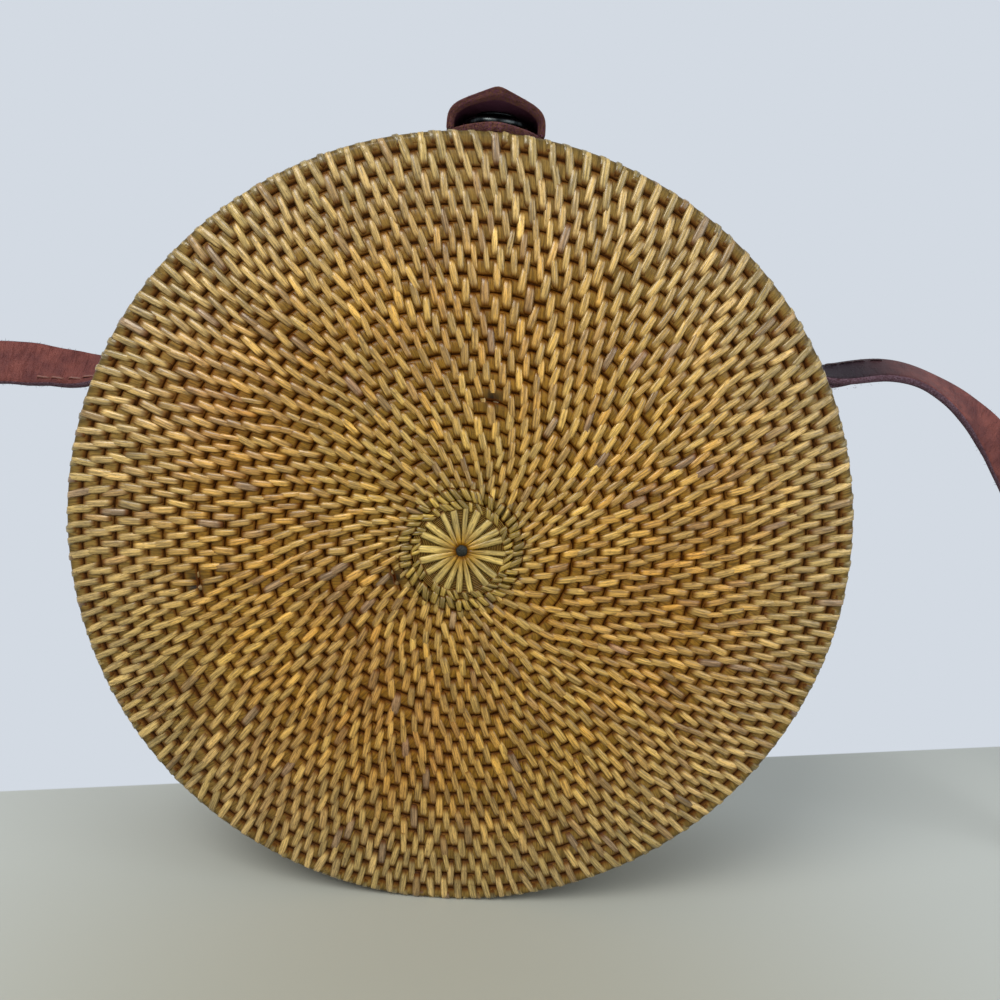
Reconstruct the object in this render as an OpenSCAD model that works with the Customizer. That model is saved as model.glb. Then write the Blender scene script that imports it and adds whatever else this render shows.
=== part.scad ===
// Round coiled-cane shoulder bag: two dished halves hinged at the bottom and closed by a leather tab
// on top, with a flat leather strap. It stands upright. X runs across the faces, Y from the front to
// the back, and Z up. The origin is on the ground, under the seam between the halves.

/* [Basket] */
// Radius of the side wall over its coils
bag_r = 100; // [85:1:130]
// Distance from one coil of cane to the next, on the side wall
coil_pitch = 3.9; // [3.4:0.1:5]
// Coils in a face, from the rounded corner to the star
face_coils = 24; // [18:1:28]
// How much narrower the innermost coil of a face is than the outermost
coil_taper = 1.7; // [0.6:0.1:2]
// How far neighbouring coils press into each other
coil_press = 0.1; // [0.05:0.05:0.2]
// Coils in the depth of one half, from the seam to the rounded corner
side_coils = 8; // [7:1:12]
// How far the middle of a face stands out
dome_h = 8; // [4:0.5:14]
// How deep the groove between two coils is
groove_depth = 1.05; // [0.5:0.05:1.3]
// Depth of the flat that the bag stands on
stand_flat = 0.5; // [0.2:0.1:1]
// Gap between the two halves at the seam
seam_gap = 0.3; // [0.2:0.05:0.8]

/* [Rosette] */
// Radius of the star of straight strips in the middle of a face
rosette_r = 11; // [8:0.5:16]
// Number of strips in the star
rosette_strips = 18; // [12:1:24]
// Width of one strip of the star
rosette_strip_w = 1.5; // [1:0.1:2]
// Thickness of one strip of the star
rosette_strip_t = 0.5; // [0.3:0.1:0.8]
// Radius of the dark eye in the middle
eye_r = 1.25; // [0.8:0.05:2]

/* [Lining] */
// Thickness of the cotton lining
lining_t = 0.8; // [0.5:0.1:1.5]
// Radius of the cord that covers the lining's edge
lining_cord_r = 1; // [0.6:0.1:1.4]

/* [Clasp] */
// Width of the leather tab
tab_w = 25.2; // [22:0.2:32]
// Thickness of the clasp leather
tab_t = 2.4; // [1.6:0.1:3]
// How far the clasp sits to the right of the middle
clasp_x = 1.5; // [-4:0.1:4]
// How far the tab's point stays behind the front corner coil
tip_inset = 0.75; // [0.5:0.25:3]
// Length of the tab's point
point_l = 9.5; // [7:0.5:12]
// How far the tab's point curls up
tab_curl = 2; // [0:0.1:3]
// Where the tab bends, behind the seam
tab_bend = 9.8; // [8:0.1:12]
// How far the tab's sewn end stays in front of the back corner coil
end_inset = 2.25; // [1.5:0.25:5]
// Radius of the snap
snap_r = 8; // [6:0.5:9]
// Height of the half of the snap that sits on the base
snap_plate_t = 2; // [1.4:0.1:2.6]
// Distance from the tab's point to the middle of the snap
snap_inset = 13; // [12:0.5:15]

/* [Strap] */
// Width of the strap
strap_w = 13; // [10:0.5:16]
// Thickness of the strap
strap_t = 2.2; // [1.6:0.1:3]
// Length of the sewn fold at each end
strap_fold = 24; // [18:1:30]
// How far the strap falls beyond the side wall
strap_out = 105; // [90:5:140]
// How far in front of the seam the strap lies
strap_front = 165; // [155:5:200]

/* [Ears] */
// Radius of the wrapped loop that holds the strap
ear_r = 1.7; // [1.2:0.1:2.2]
// How far the loop's bar stands off the wall
ear_reach = 6; // [5.5:0.1:8]
// Distance from the edge coil to the loop's front leg
ear_inset = 1; // [0.5:0.25:2]
// Angle of the left loop over the middle of the bag
ear_left_angle = 19; // [10:1:35]
// Angle of the right loop over the middle of the bag
ear_right_angle = 25; // [10:1:35]

/* [Hinge] */
// Number of cane strips that lash the halves together
lash_count = 7; // [3:2:9]
// Width of one lashing strip
lash_w = 2.4; // [1.6:0.1:3]
// Thickness of one lashing strip
lash_t = 0.55; // [0.3:0.05:0.8]
// Distance from one lashing strip to the next
lash_pitch = 4; // [3.4:0.1:4.4]

/* [Hidden] */

$fn = 96;
cut = 1;                                   // overrun of every cut
seat = 0.1;                                // air between pieces that are pressed or sewn together
arc_steps = 8;
dome_steps = 14;

// Basket: radii are taken from the bag's middle, and heights h from the seam
coil_r = coil_pitch / 2 + coil_press;
centre_z = bag_r - stand_flat;
wall_r = bag_r - coil_r;                   // middle of the wall, where the coils' centres lie
inner_r = wall_r - coil_r;
web_out = coil_r - groove_depth;           // bottom of the grooves, from the middle of the wall
edge_h = coil_pitch;                       // where the edge coil ends and the shell begins
edge_coil_r = coil_r + seat;
corner_h = (side_coils - 0.5) * coil_pitch;
rim_groove_r = wall_r - coil_pitch / 2;    // groove between the corner coil and the face
rosette_overlap = 1.4;                     // how far the star's strips reach over the last coil
hub_r = rosette_r - rosette_overlap;
face_pitch = (rim_groove_r - hub_r) / face_coils;
crown_h = corner_h + dome_h + coil_r;      // outside of a face at its middle
eye_dome_share = 1.2;                      // the eye's dome has this much more radius than the eye

lining_out_r = inner_r - seat;
lining_in_r = lining_out_r - lining_t;
lining_top_h = seam_gap / 2 + seat + 2 * lining_cord_r;
lash_reach = edge_h - seat;

// Clasp: heights are taken from the bag's middle, and y from the seam to the front
rim_top = bag_r + seat;                    // underside of what is sewn on top of the rim
patch_top = rim_top + tab_t;
corner_r = 3;
tab_half = tab_w / 2;
tab_tip = corner_h - tip_inset;
tab_shoulder = tab_tip - point_l;
tab_end = corner_h - end_inset;
tab_squareness = 4;                        // exponent of the rounded arch of the tab
blunt_share = 0.15;                        // how far the point is blunt, as a share of its half width
tab_skirt = 0.4;                           // air between the tab's drooping sides and the base
base_back = tab_t;
snap_back = tab_tip - snap_inset;
snap_gap = 0.3;                            // air between the two halves of the snap
snap_lip_t = 0.6;
snap_lip_r = 5;
snap_nub_t = 0.6;
snap_hole_r = 2.8;
snap_nub_r = snap_hole_r - snap_gap;
plate_z = patch_top + seat;
nub_z = plate_z + snap_plate_t + snap_gap;
lip_z = nub_z + snap_nub_t;
tab_under = lip_z + snap_lip_t + seat;
tab_over = tab_under + tab_t;
ramp_end = snap_back - snap_r - corner_r;  // where the tab has climbed to the snap's height
cap_r = 5;
cap_t = 1.2;
rivet_r = 1.4;
rivet_hole_r = rivet_r + seat;
rivet_head_r = 5;
rivet_head_t = 0.8;
rivet_flare = 0.6;
thread_r = 0.45;
stitch_l = 3.4;
stitch_pitch = 5;

// Ears
ear_side_gap = 1.2;                        // air beside the strap
ear_bend_r = 2.8;
ear_half = strap_w / 2 + ear_side_gap + ear_r;
ear_y = edge_h + ear_inset + ear_r + ear_half;

// Strap
strap_side = bag_r + strap_out;
plies_gap = 0.2;                           // thread and glue between the two plies of the fold
spread_l = 11;                             // length in which the plies close behind the loop's bar
bar_clear = ear_r + seat + strap_t / 2;
ply_clear = (strap_t + plies_gap) / 2;

// Turns a revolved shape about X so that its height runs away from the seam
module half(side) {
    translate([0, 0, centre_z]) rotate([-90 * side, 0, 0]) children();
}

// Cuts off everything under the ground, which leaves the flat that the bag stands on
module standing(ground = 0) {
    difference() {
        children();
        translate([-bag_r, -bag_r, ground - bag_r]) cube([2 * bag_r, 2 * bag_r, bag_r]);
    }
}

// Height of the dome over the corner coil, at radius r: a parabola
function rise(r) = dome_h * (1 - pow(r / wall_r, 2));

// Radius of the groove on the inner side of a face's coil i: the coils get narrower at a steady rate
function groove_r(i) = rim_groove_r - i * face_pitch - coil_taper * i * (1 - i / face_coils) / 2;

// A point of a face's inner side, dist away from it into the bag, at radius r
function face_inside(r, dist = 0) = [r, corner_h + rise(r) - coil_r - dist];

// An arc of a coil that stands out of the web, from one angle to another
function coil_arc(r, h, from, to, size = coil_r) =
    [for (k = [0 : arc_steps]) let (a = from + (to - from) * k / arc_steps)
        [r + size * cos(a), h + size * sin(a)]];

// The arc of coil i of a face, whose crest lies on the dome
function face_arc(i, shown) =
    let (r = (groove_r(i - 1) + groove_r(i)) / 2, size = (groove_r(i - 1) - groove_r(i)) / 2 + coil_press)
    coil_arc(r, corner_h + rise(r) + coil_r - size, 90 - shown, 90 + shown, size);

// Section of a half: the outer side follows coil after coil, the inner side is smooth
module shell_section() {
    shown = acos(web_out / coil_r);
    polygon(concat(
        [[inner_r, edge_h], [wall_r + web_out, edge_h]],
        [for (i = [1 : side_coils - 2]) each coil_arc(wall_r, (i + 0.5) * coil_pitch, -shown, shown)],
        coil_arc(wall_r, corner_h, -shown, 90 + shown),
        [for (i = [1 : face_coils]) each face_arc(i, shown)],
        [[hub_r, corner_h + rise(hub_r) + web_out], [hub_r, crown_h], [0, crown_h]],
        [for (i = [0 : dome_steps]) face_inside(inner_r * i / dome_steps)]));
}

module ear_holes(angle) {
    for (s = [-1, 1])
        translate([0, ear_y + s * ear_half, centre_z]) rotate([0, 90 - angle, 0])
            translate([0, 0, inner_r - cut]) cylinder(r = ear_r + seat, h = 2 * coil_r + 2 * cut);
}

module rivet_hole(from, to) {
    translate([clasp_x, -snap_back, centre_z + from]) cylinder(r = rivet_hole_r, h = to - from);
}

module front_shell() {
    color([0.70, 0.53, 0.28])
    difference() {
        standing() half(-1) rotate_extrude() shell_section();
        rivet_hole(inner_r - cut, bag_r + cut);
    }
}

module back_shell() {
    color([0.70, 0.53, 0.28])
    difference() {
        standing() half(1) rotate_extrude() shell_section();
        ear_holes(ear_right_angle);
        ear_holes(180 - ear_left_angle);
    }
}

// The last coil of a half, wrapped closer than the rest, with a flat where it meets the shell
module edge_coil(side) {
    color([0.62, 0.46, 0.24])
    standing(lash_t) half(side) rotate_extrude()
        intersection() {
            translate([wall_r, edge_h / 2]) circle(edge_coil_r);
            translate([wall_r - edge_coil_r - cut, seam_gap / 2])
                square([2 * edge_coil_r + 2 * cut, edge_h - seam_gap / 2]);
        }
}

// Straight strips that cross the hub like the spokes of a wheel
module rosette(side) {
    color([0.76, 0.60, 0.33])
    half(side) translate([0, 0, crown_h])
        difference() {
            for (i = [0 : rosette_strips - 1])
                rotate([0, 0, i * 360 / rosette_strips]) translate([0, -rosette_strip_w / 2, 0])
                    cube([rosette_r, rosette_strip_w, rosette_strip_t]);
            translate([0, 0, -cut]) cylinder(r = eye_r + seat, h = rosette_strip_t + 2 * cut);
        }
}

// The knot in the middle: a low round button
module eye(side) {
    color([0.22, 0.19, 0.17])
    half(side) translate([0, 0, crown_h])
        intersection() {
            cylinder(r = eye_r, h = eye_r);
            translate([0, 0, -eye_r / 2]) sphere(r = eye_r * eye_dome_share);
        }
}

// A cup of cotton just inside the wall
module lining_section() {
    polygon(concat(
        [[lining_in_r, lining_top_h], [lining_out_r, lining_top_h]],
        [for (i = [0 : dome_steps]) face_inside(lining_out_r * (1 - i / dome_steps), seat)],
        [for (i = [0 : dome_steps]) face_inside(lining_in_r * i / dome_steps, seat + lining_t)]));
}

module front_lining() {
    color([0.74, 0.66, 0.52])
    difference() {
        half(-1) rotate_extrude() lining_section();
        rivet_hole(lining_in_r - cut, lining_out_r + cut);
    }
}

module back_lining() {
    color([0.74, 0.66, 0.52])
    half(1) rotate_extrude() lining_section();
}

module lining_cord(side) {
    color([0.50, 0.37, 0.22])
    half(side) rotate_extrude()
        translate([lining_out_r - lining_cord_r, seam_gap / 2 + lining_cord_r]) circle(lining_cord_r);
}

// Flat cane strips under the seam, which bend where the halves meet
module hinge_lashing(side) {
    color([0.66, 0.50, 0.27])
    for (i = [0 : lash_count - 1])
        translate([(i - (lash_count - 1) / 2) * lash_pitch - lash_w / 2,
            side > 0 ? seam_gap / 2 : -lash_reach, 0])
            cube([lash_w, lash_reach - seam_gap / 2, lash_t]);
}

// How far in front of the seam the point's outline lies, at share w of the half width: a wedge with
// a blunt tip, for the tab and the base alike
function point_reach(w) =
    let (wedge = norm([w, blunt_share]) - blunt_share, full = norm([1, blunt_share]) - blunt_share)
    tab_tip - point_l * wedge / full;

// Outline of the base: straight behind, pointed in front
module base_outline() {
    polygon(concat(
        [for (s = [-1, 1]) [clasp_x + s * tab_half, -base_back]],
        [for (k = [arc_steps : -1 : -arc_steps])
            [clasp_x + tab_half * k / arc_steps, -point_reach(k / arc_steps)]]));
}

// Outline of the tab's sewn end: straight where the tab bends, with round corners behind
module tab_end_outline(from) {
    translate([clasp_x - tab_half, from]) square([tab_w, tab_end - from - corner_r]);
    translate([clasp_x - tab_half + corner_r, from]) square([tab_w - 2 * corner_r, tab_end - from]);
    for (s = [-1, 1])
        translate([clasp_x + s * (tab_half - corner_r), tab_end - corner_r]) circle(corner_r);
}

// Leather of the given outline that follows the round rim, from one y to another
module rim_patch(from, to) {
    intersection() {
        translate([0, from - cut, centre_z]) rotate([-90, 0, 0])
            difference() {
                cylinder(r = patch_top, h = to - from + 2 * cut);
                translate([0, 0, -cut]) cylinder(r = rim_top, h = to - from + 4 * cut);
            }
        translate([0, 0, centre_z]) linear_extrude(patch_top + cut) children();
    }
}

module clasp_base() {
    color([0.33, 0.17, 0.14])
    difference() {
        rim_patch(-tab_tip, -base_back) base_outline();
        rivet_hole(bag_r - cut, plate_z + cut);
    }
}

module clasp_tab_end() {
    from = tab_bend + seam_gap / 2;
    color([0.30, 0.15, 0.13]) rim_patch(from, tab_end) tab_end_outline(from);
}

// A row of thread stitches across a patch, each turned to lie on the round rim
module stitch_row(y) {
    gaps = floor((tab_w - 2 * tab_t - stitch_l) / stitch_pitch);
    color([0.18, 0.11, 0.09])
    for (i = [0 : gaps])
        translate([0, y, centre_z])
            rotate([0, asin((clasp_x + (i - gaps / 2) * stitch_pitch) / patch_top), 0])
                translate([-stitch_l / 2, 0, patch_top + thread_r])
                    rotate([0, 90, 0]) cylinder(r = thread_r, h = stitch_l, $fn = 16);
}

module clasp_base_stitches() {
    stitch_row(-base_back - corner_r / 2);
}

module clasp_tab_stitches() {
    stitch_row(tab_end - corner_r);
    stitch_row(tab_bend + corner_r);
}

// Half of the snap that sits on the base: a ring with a rolled edge and a hole for the nub
module snap_plate() {
    color([0.28, 0.31, 0.33])
    translate([clasp_x, -snap_back, centre_z + plate_z])
        rotate_extrude()
            difference() {
                union() {
                    square([snap_r - snap_plate_t / 2, snap_plate_t]);
                    translate([snap_r - snap_plate_t / 2, snap_plate_t / 2]) circle(snap_plate_t / 2);
                }
                translate([0, snap_plate_t / 2]) square([snap_hole_r, snap_plate_t]);
                translate([0, -cut]) square([rivet_hole_r, snap_plate_t + 2 * cut]);
            }
}

// The rivet that holds the plate through the leather, the wall and the lining
module snap_plate_rivet() {
    head_top = sqrt(pow(lining_in_r, 2) - pow(abs(clasp_x) + rivet_head_r, 2)) - seat;
    floor_z = plate_z + snap_plate_t / 2 + seat;
    color([0.45, 0.45, 0.44])
    translate([clasp_x, -snap_back, centre_z]) {
        translate([0, 0, head_top - rivet_head_t]) {
            cylinder(r = rivet_head_r, h = rivet_head_t);
            cylinder(r = rivet_r, h = floor_z - head_top + rivet_head_t);
        }
        translate([0, 0, floor_z]) cylinder(r = rivet_r + rivet_flare, h = rivet_flare);
    }
}

// Half of the snap under the tab: a thin plate with a nub
module snap_button() {
    color([0.28, 0.31, 0.33])
    translate([clasp_x, -snap_back, centre_z + nub_z])
        rotate_extrude() {
            translate([0, snap_nub_t]) square([snap_lip_r, snap_lip_t]);
            square([snap_nub_r, snap_nub_t + snap_lip_t]);
        }
}

// The domed cap on top of the tab
module snap_cap() {
    color([0.40, 0.34, 0.27])
    translate([clasp_x, -snap_back, centre_z + tab_over + seat])
        rotate_extrude()
            polygon(concat([[0, 0]], [for (k = [0 : arc_steps]) let (a = 90 * k / arc_steps)
                [cap_r * cos(a), cap_t * sin(a)]]));
}

// How far the tab has left the rim, 0 at the bend and 1 over the snap, at y in front of the seam
function tab_lift(y) = let (t = min(1, max(0, (y + tab_bend) / (ramp_end + tab_bend)))) t * t * (3 - 2 * t);

// Height of the middle of the tab's lower face: it climbs to the snap and curls up at the point
function tab_mid(y) =
    let (curl = max(0, (y - tab_shoulder) / point_l))
    rim_top + (tab_under - rim_top) * tab_lift(y) + tab_curl * curl * curl;

// A point of the tab: u from -1 to 1 across, v from 0 at the bend to 1 at the point, for the upper or
// lower face. Across, the tab is a rounded arch whose sides droop to the base as it lifts.
function tab_point(u, v, upper) =
    let (w = sin(90 * u), arch = pow(1 - pow(abs(w), tab_squareness), 1 / tab_squareness))
    let (start = seam_gap / 2 - tab_bend, y = start + v * (point_reach(w) - start), lift = tab_lift(y))
    let (half_w = upper ? tab_half : tab_half - tab_t * lift)
    let (foot_r = rim_top + (tab_t + tab_skirt) * lift, foot_x = clasp_x + sign(w) * half_w)
    let (foot = sqrt(foot_r * foot_r - foot_x * foot_x) + (upper ? tab_t * (1 - lift) : 0))
    let (top = tab_mid(y) + (upper ? tab_t : 0))
    [clasp_x + half_w * w, -y, centre_z + foot + (top - foot) * arch];

module clasp_tab() {
    nu = 16;
    nv = 12;
    row = nu + 1;
    sheet = row * (nv + 1);
    points = [for (upper = [true, false], j = [0 : nv], i = [0 : nu])
        tab_point(2 * i / nu - 1, j / nv, upper)];
    function at(face, i, j) = face * sheet + j * row + i;
    faces = concat(
        [for (j = [0 : nv - 1], i = [0 : nu - 1]) each [
            [at(0, i, j), at(0, i + 1, j), at(0, i + 1, j + 1)],
            [at(0, i, j), at(0, i + 1, j + 1), at(0, i, j + 1)],
            [at(1, i, j), at(1, i + 1, j + 1), at(1, i + 1, j)],
            [at(1, i, j), at(1, i, j + 1), at(1, i + 1, j + 1)]]],
        [for (i = [0 : nu - 1]) each [
            [at(0, i, 0), at(1, i, 0), at(1, i + 1, 0)],
            [at(0, i, 0), at(1, i + 1, 0), at(0, i + 1, 0)],
            [at(0, i, nv), at(1, i + 1, nv), at(1, i, nv)],
            [at(0, i, nv), at(0, i + 1, nv), at(1, i + 1, nv)]]],
        [for (j = [0 : nv - 1]) each [
            [at(0, 0, j), at(0, 0, j + 1), at(1, 0, j + 1)],
            [at(0, 0, j), at(1, 0, j + 1), at(1, 0, j)],
            [at(0, nu, j), at(1, nu, j + 1), at(0, nu, j + 1)],
            [at(0, nu, j), at(1, nu, j), at(1, nu, j + 1)]]]);
    color([0.30, 0.15, 0.13]) polyhedron(points, faces);
}

// A loop of wrapped cane whose legs pass through the wall; the strap folds round its bar
module ear(angle) {
    leg = bag_r + ear_reach - ear_bend_r - inner_r;
    bar = ear_half - ear_bend_r;
    color([0.60, 0.44, 0.23])
    translate([0, ear_y, centre_z]) rotate([0, 90 - angle, 0]) translate([0, 0, inner_r]) {
        for (s = [-1, 1]) {
            translate([0, s * ear_half, 0]) cylinder(r = ear_r, h = leg);
            translate([0, s * bar, leg]) rotate([0, 0, s * 90]) rotate([90, 0, 0])
                rotate_extrude(angle = 90) translate([ear_bend_r, 0]) circle(ear_r);
        }
        translate([0, -bar, leg + ear_bend_r]) rotate([-90, 0, 0]) cylinder(r = ear_r, h = 2 * bar);
    }
}

// The strap's route beside the bag. Each row holds the share of the way from the loop's bar out to
// strap_side, a share of the bar's height, a share of ear_y, and the angle by which the outer face
// has turned from up to the front.
air_left_shares = [[0.102, 0.991, 1, 30], [0.217, 0.994, 1, 50], [0.35, 0.995, 1, 66],
    [0.511, 0.979, 1, 50], [0.667, 0.912, 1, 28], [0.791, 0.772, 1, 28], [0.867, 0.582, 1, 50],
    [0.918, 0.369, 0.95, 76], [0.951, 0.157, 0.7, 72]];
air_right_shares = [[0.091, 1.016, 1, 17], [0.219, 1.032, 1, 19], [0.339, 1.019, 1, 22],
    [0.458, 0.969, 1, 35], [0.58, 0.877, 1, 60], [0.716, 0.72, 1, 75], [0.825, 0.527, 1, 86],
    [0.898, 0.319, 0.95, 84], [0.947, 0.135, 0.7, 72]];
// On the ground each row holds shares of strap_side and strap_front, and how far the strap has
// turned on its edge.
ground_shares = [[0.985, -0.02, 0], [0.99, -0.16, 0.12], [0.985, -0.32, 0.62], [0.955, -0.5, 1],
    [0.87, -0.68, 1], [0.73, -0.83, 1], [0.54, -0.93, 1], [0.28, -0.985, 1]];

function ear_bar(angle) =
    [(bag_r + ear_reach) * cos(angle), ear_y, centre_z + (bag_r + ear_reach) * sin(angle)];
function air_row(row, bar) =
    let (out = sign(bar[0]) * strap_side - bar[0])
    [[bar[0] + row[0] * out, row[2] * ear_y, row[1] * bar[2]], [0, -sin(row[3]), cos(row[3])]];
function ground_row(row, side) =
    let (out = [side * row[0] * strap_side, row[1] * strap_front, 0], e = row[2], size = norm([1 - e, e]))
    [out + [0, 0, ((1 - e) * strap_t + e * strap_w) / (2 * size)],
        ((1 - e) * [0, 0, 1] + e * out / norm(out)) / size];

bar_left = ear_bar(180 - ear_left_angle);
bar_right = ear_bar(ear_right_angle);
route = concat(
    [[bar_left, [0, 0, 1]]],
    [for (row = air_left_shares) air_row(row, bar_left)],
    [for (row = ground_shares) ground_row(row, -1)],
    [[[0, -strap_front, strap_w / 2], [0, -1, 0]]],
    [for (i = [len(ground_shares) - 1 : -1 : 0]) ground_row(ground_shares[i], 1)],
    [for (i = [len(air_right_shares) - 1 : -1 : 0]) air_row(air_right_shares[i], bar_right)],
    [[bar_right, [0, 0, 1]]]);

// A smooth curve through four rows, between the two in the middle
function through(p, q, r, s, t) =
    (2 * q + (r - p) * t + (2 * p - 5 * q + 4 * r - s) * t * t + (3 * q - p - 3 * r + s) * t * t * t) / 2;
route_steps = 4;
route_last = len(route) - 1;
function route_at(i, k) =
    [for (c = [0, 1]) through(route[max(0, i - 1)][c], route[i][c], route[i + 1][c],
        route[min(route_last, i + 2)][c], k / route_steps)];
curve = concat(
    [for (i = [0 : route_last - 1], k = [0 : route_steps - 1]) route_at(i, k)],
    [route[route_last]]);
last = len(curve) - 1;
function unit(v) = v / norm(v);
function square_to(d, n) = unit(n - (n * d) * d);
function course(rows, i) = unit(rows[min(last, i + 1)][0] - rows[max(0, i - 1)][0]);

// A row of the curve, raised where a corner of the strap's section would be under the ground
function grounded(i) =
    let (p = curve[i][0], d = course(curve, i), n = square_to(d, curve[i][1]))
    let (lowest = strap_w / 2 * abs(cross(d, n)[2]) + strap_t / 2 * abs(n[2]))
    [[p[0], p[1], max(p[2], lowest)], curve[i][1]];
middle = [for (i = [0 : last]) grounded(i)];
function direction(i) = course(middle, i);
function outward(i) = square_to(direction(i), middle[i][1]);

// Length of the route from its start to each row
function lengths(i = 0, so_far = 0) =
    i > last ? [] : concat([so_far],
        lengths(i + 1, i < last ? so_far + norm(middle[i + 1][0] - middle[i][0]) : so_far));
run = lengths();
strap_length = run[last];

// Half the distance between the two plies of the sewn fold, at a distance from the loop's bar
function spread(s) =
    s < spread_l ? ply_clear + (bar_clear - ply_clear) * pow(cos(90 * s / spread_l), 2)
    : s < strap_fold ? ply_clear
    : s < strap_fold + spread_l ? ply_clear * pow(cos(90 * (s - strap_fold) / spread_l), 2)
    : 0;

// Rows of [centre, outer face's direction, width's direction], for a row of the route, its direction
// and its distance from the loop's bar
function ply_row(row, d, s, side) =
    let (n = square_to(d, row[1]))
    [row[0] + side * spread(s) * n, side * n, cross(d, n)];
function ply(i, side) = ply_row(middle[i], direction(i), min(run[i], strap_length - run[i]), side);

// The inner ply's last row, strap_fold from the bar, between row i and its neighbour, step away
function fold_tip(i, step) =
    let (t = (strap_fold - min(run[i], strap_length - run[i])) / abs(run[i + step] - run[i]))
    ply_row([for (c = [0, 1]) middle[i][c] + t * (middle[i + step][c] - middle[i][c])],
        step * unit(middle[i + step][0] - middle[i][0]), strap_fold, -1);
function bar_ply(i, turn, sense) =
    let (n = -sense * cos(turn) * outward(i) - direction(i) * sin(turn) * sense)
    [middle[i][0] + bar_clear * n, n, cross(direction(i), outward(i))];
fold_start = max([for (i = [0 : last]) run[i] < strap_fold ? i : 0]);
fold_stop = min([for (i = [0 : last]) strap_length - run[i] < strap_fold ? i : last]);
strap_rows = concat(
    [fold_tip(fold_start, 1)],
    [for (i = [fold_start : -1 : 0]) ply(i, -1)],
    [for (k = [1 : arc_steps - 1]) bar_ply(0, 180 * k / arc_steps, 1)],
    [for (i = [0 : last]) ply(i, 1)],
    [for (k = [1 : arc_steps - 1]) bar_ply(last, 180 * k / arc_steps, -1)],
    [for (i = [last : -1 : fold_stop]) ply(i, -1)],
    [fold_tip(fold_stop, -1)]);

module shoulder_strap() {
    rows = len(strap_rows);
    points = [for (r = strap_rows, c = [[-1, -1], [1, -1], [1, 1], [-1, 1]])
        r[0] + c[0] * r[2] * strap_w / 2 + c[1] * r[1] * strap_t / 2];
    faces = concat(
        [for (i = [0 : rows - 2], c = [0 : 3]) each let (a = 4 * i + c, b = 4 * i + (c + 1) % 4)
            [[a, a + 4, b + 4], [a, b + 4, b]]],
        [[0, 1, 2], [0, 2, 3]],
        let (e = 4 * (rows - 1)) [[e, e + 2, e + 1], [e, e + 3, e + 2]]);
    color([0.45, 0.23, 0.20]) polyhedron(points, faces);
}

echo(strap_length = strap_length);

front_shell();
edge_coil(-1);  // front_edge_coil
rosette(-1);  // front_rosette
eye(-1);  // front_eye
front_lining();
lining_cord(-1);  // front_lining_cord
clasp_base();
snap_plate();
snap_plate_rivet();
hinge_lashing(-1);  // hinge_lashing_front
back_shell();
edge_coil(1);  // back_edge_coil
rosette(1);  // back_rosette
eye(1);  // back_eye
back_lining();
lining_cord(1);  // back_lining_cord
hinge_lashing(1);  // hinge_lashing_back
ear(180 - ear_left_angle);  // ear_left
ear(ear_right_angle);  // ear_right
shoulder_strap();
clasp_tab_end();
clasp_tab_stitches();
clasp_base_stitches();
clasp_tab();
snap_cap();
snap_button();
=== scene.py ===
"""Dresses the round coiled-cane shoulder bag: woven halves, leather clasp and strap, linings and snap.

Shapes are worked out in millimetres, in the frame of the construction: X runs across the faces, Y from
the front to the back, Z up, with the ground at zero. A half's own coordinates are a radius from the
bag's middle, an angle, and a height h from the seam.
"""
import math

import bpy
import numpy as np
from mathutils import Matrix, Vector


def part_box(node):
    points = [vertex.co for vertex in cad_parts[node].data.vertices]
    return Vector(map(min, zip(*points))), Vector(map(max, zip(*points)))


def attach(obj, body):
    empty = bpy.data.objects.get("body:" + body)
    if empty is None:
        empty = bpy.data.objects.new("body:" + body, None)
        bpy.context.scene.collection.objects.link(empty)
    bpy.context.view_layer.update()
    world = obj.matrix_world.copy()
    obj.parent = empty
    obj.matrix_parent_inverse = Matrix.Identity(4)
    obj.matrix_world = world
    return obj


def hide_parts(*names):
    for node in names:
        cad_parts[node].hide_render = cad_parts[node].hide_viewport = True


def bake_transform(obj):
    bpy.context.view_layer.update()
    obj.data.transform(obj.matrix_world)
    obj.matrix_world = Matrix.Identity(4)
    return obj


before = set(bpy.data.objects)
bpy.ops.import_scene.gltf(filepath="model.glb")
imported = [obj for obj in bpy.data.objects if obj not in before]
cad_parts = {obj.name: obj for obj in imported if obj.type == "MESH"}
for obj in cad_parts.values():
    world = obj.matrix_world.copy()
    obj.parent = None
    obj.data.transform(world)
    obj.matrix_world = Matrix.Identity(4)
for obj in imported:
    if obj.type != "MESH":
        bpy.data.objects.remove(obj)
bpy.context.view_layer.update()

MM = 0.001
TAU = 2 * math.pi
FRONT = -1
BACK = 1

# Basket, from the frame
shell_low, shell_high = (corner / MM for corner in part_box("front_shell"))
BAG_R = (shell_high.x - shell_low.x) / 2
CENTRE_Z = shell_high.z - BAG_R
EDGE_H = -shell_high.y
CROWN_H = -shell_low.y
COIL_R = 2.05
COIL_PITCH = 3.9
DOME_H = 8.0
WALL_R = BAG_R - COIL_R
CORNER_H = CROWN_H - DOME_H - COIL_R
INNER_R = WALL_R - COIL_R
FACE_COILS = 24
COIL_TAPER = 1.7
SIDE_COILS = 8
ROSETTE_R = 11.0
HUB_R = ROSETTE_R - 1.4
EYE_R = 1.55
RIM_GROOVE_R = WALL_R - COIL_PITCH / 2
CORNER_ARC = COIL_R * math.pi / 2
SEAM_AIR = 0.14

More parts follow.
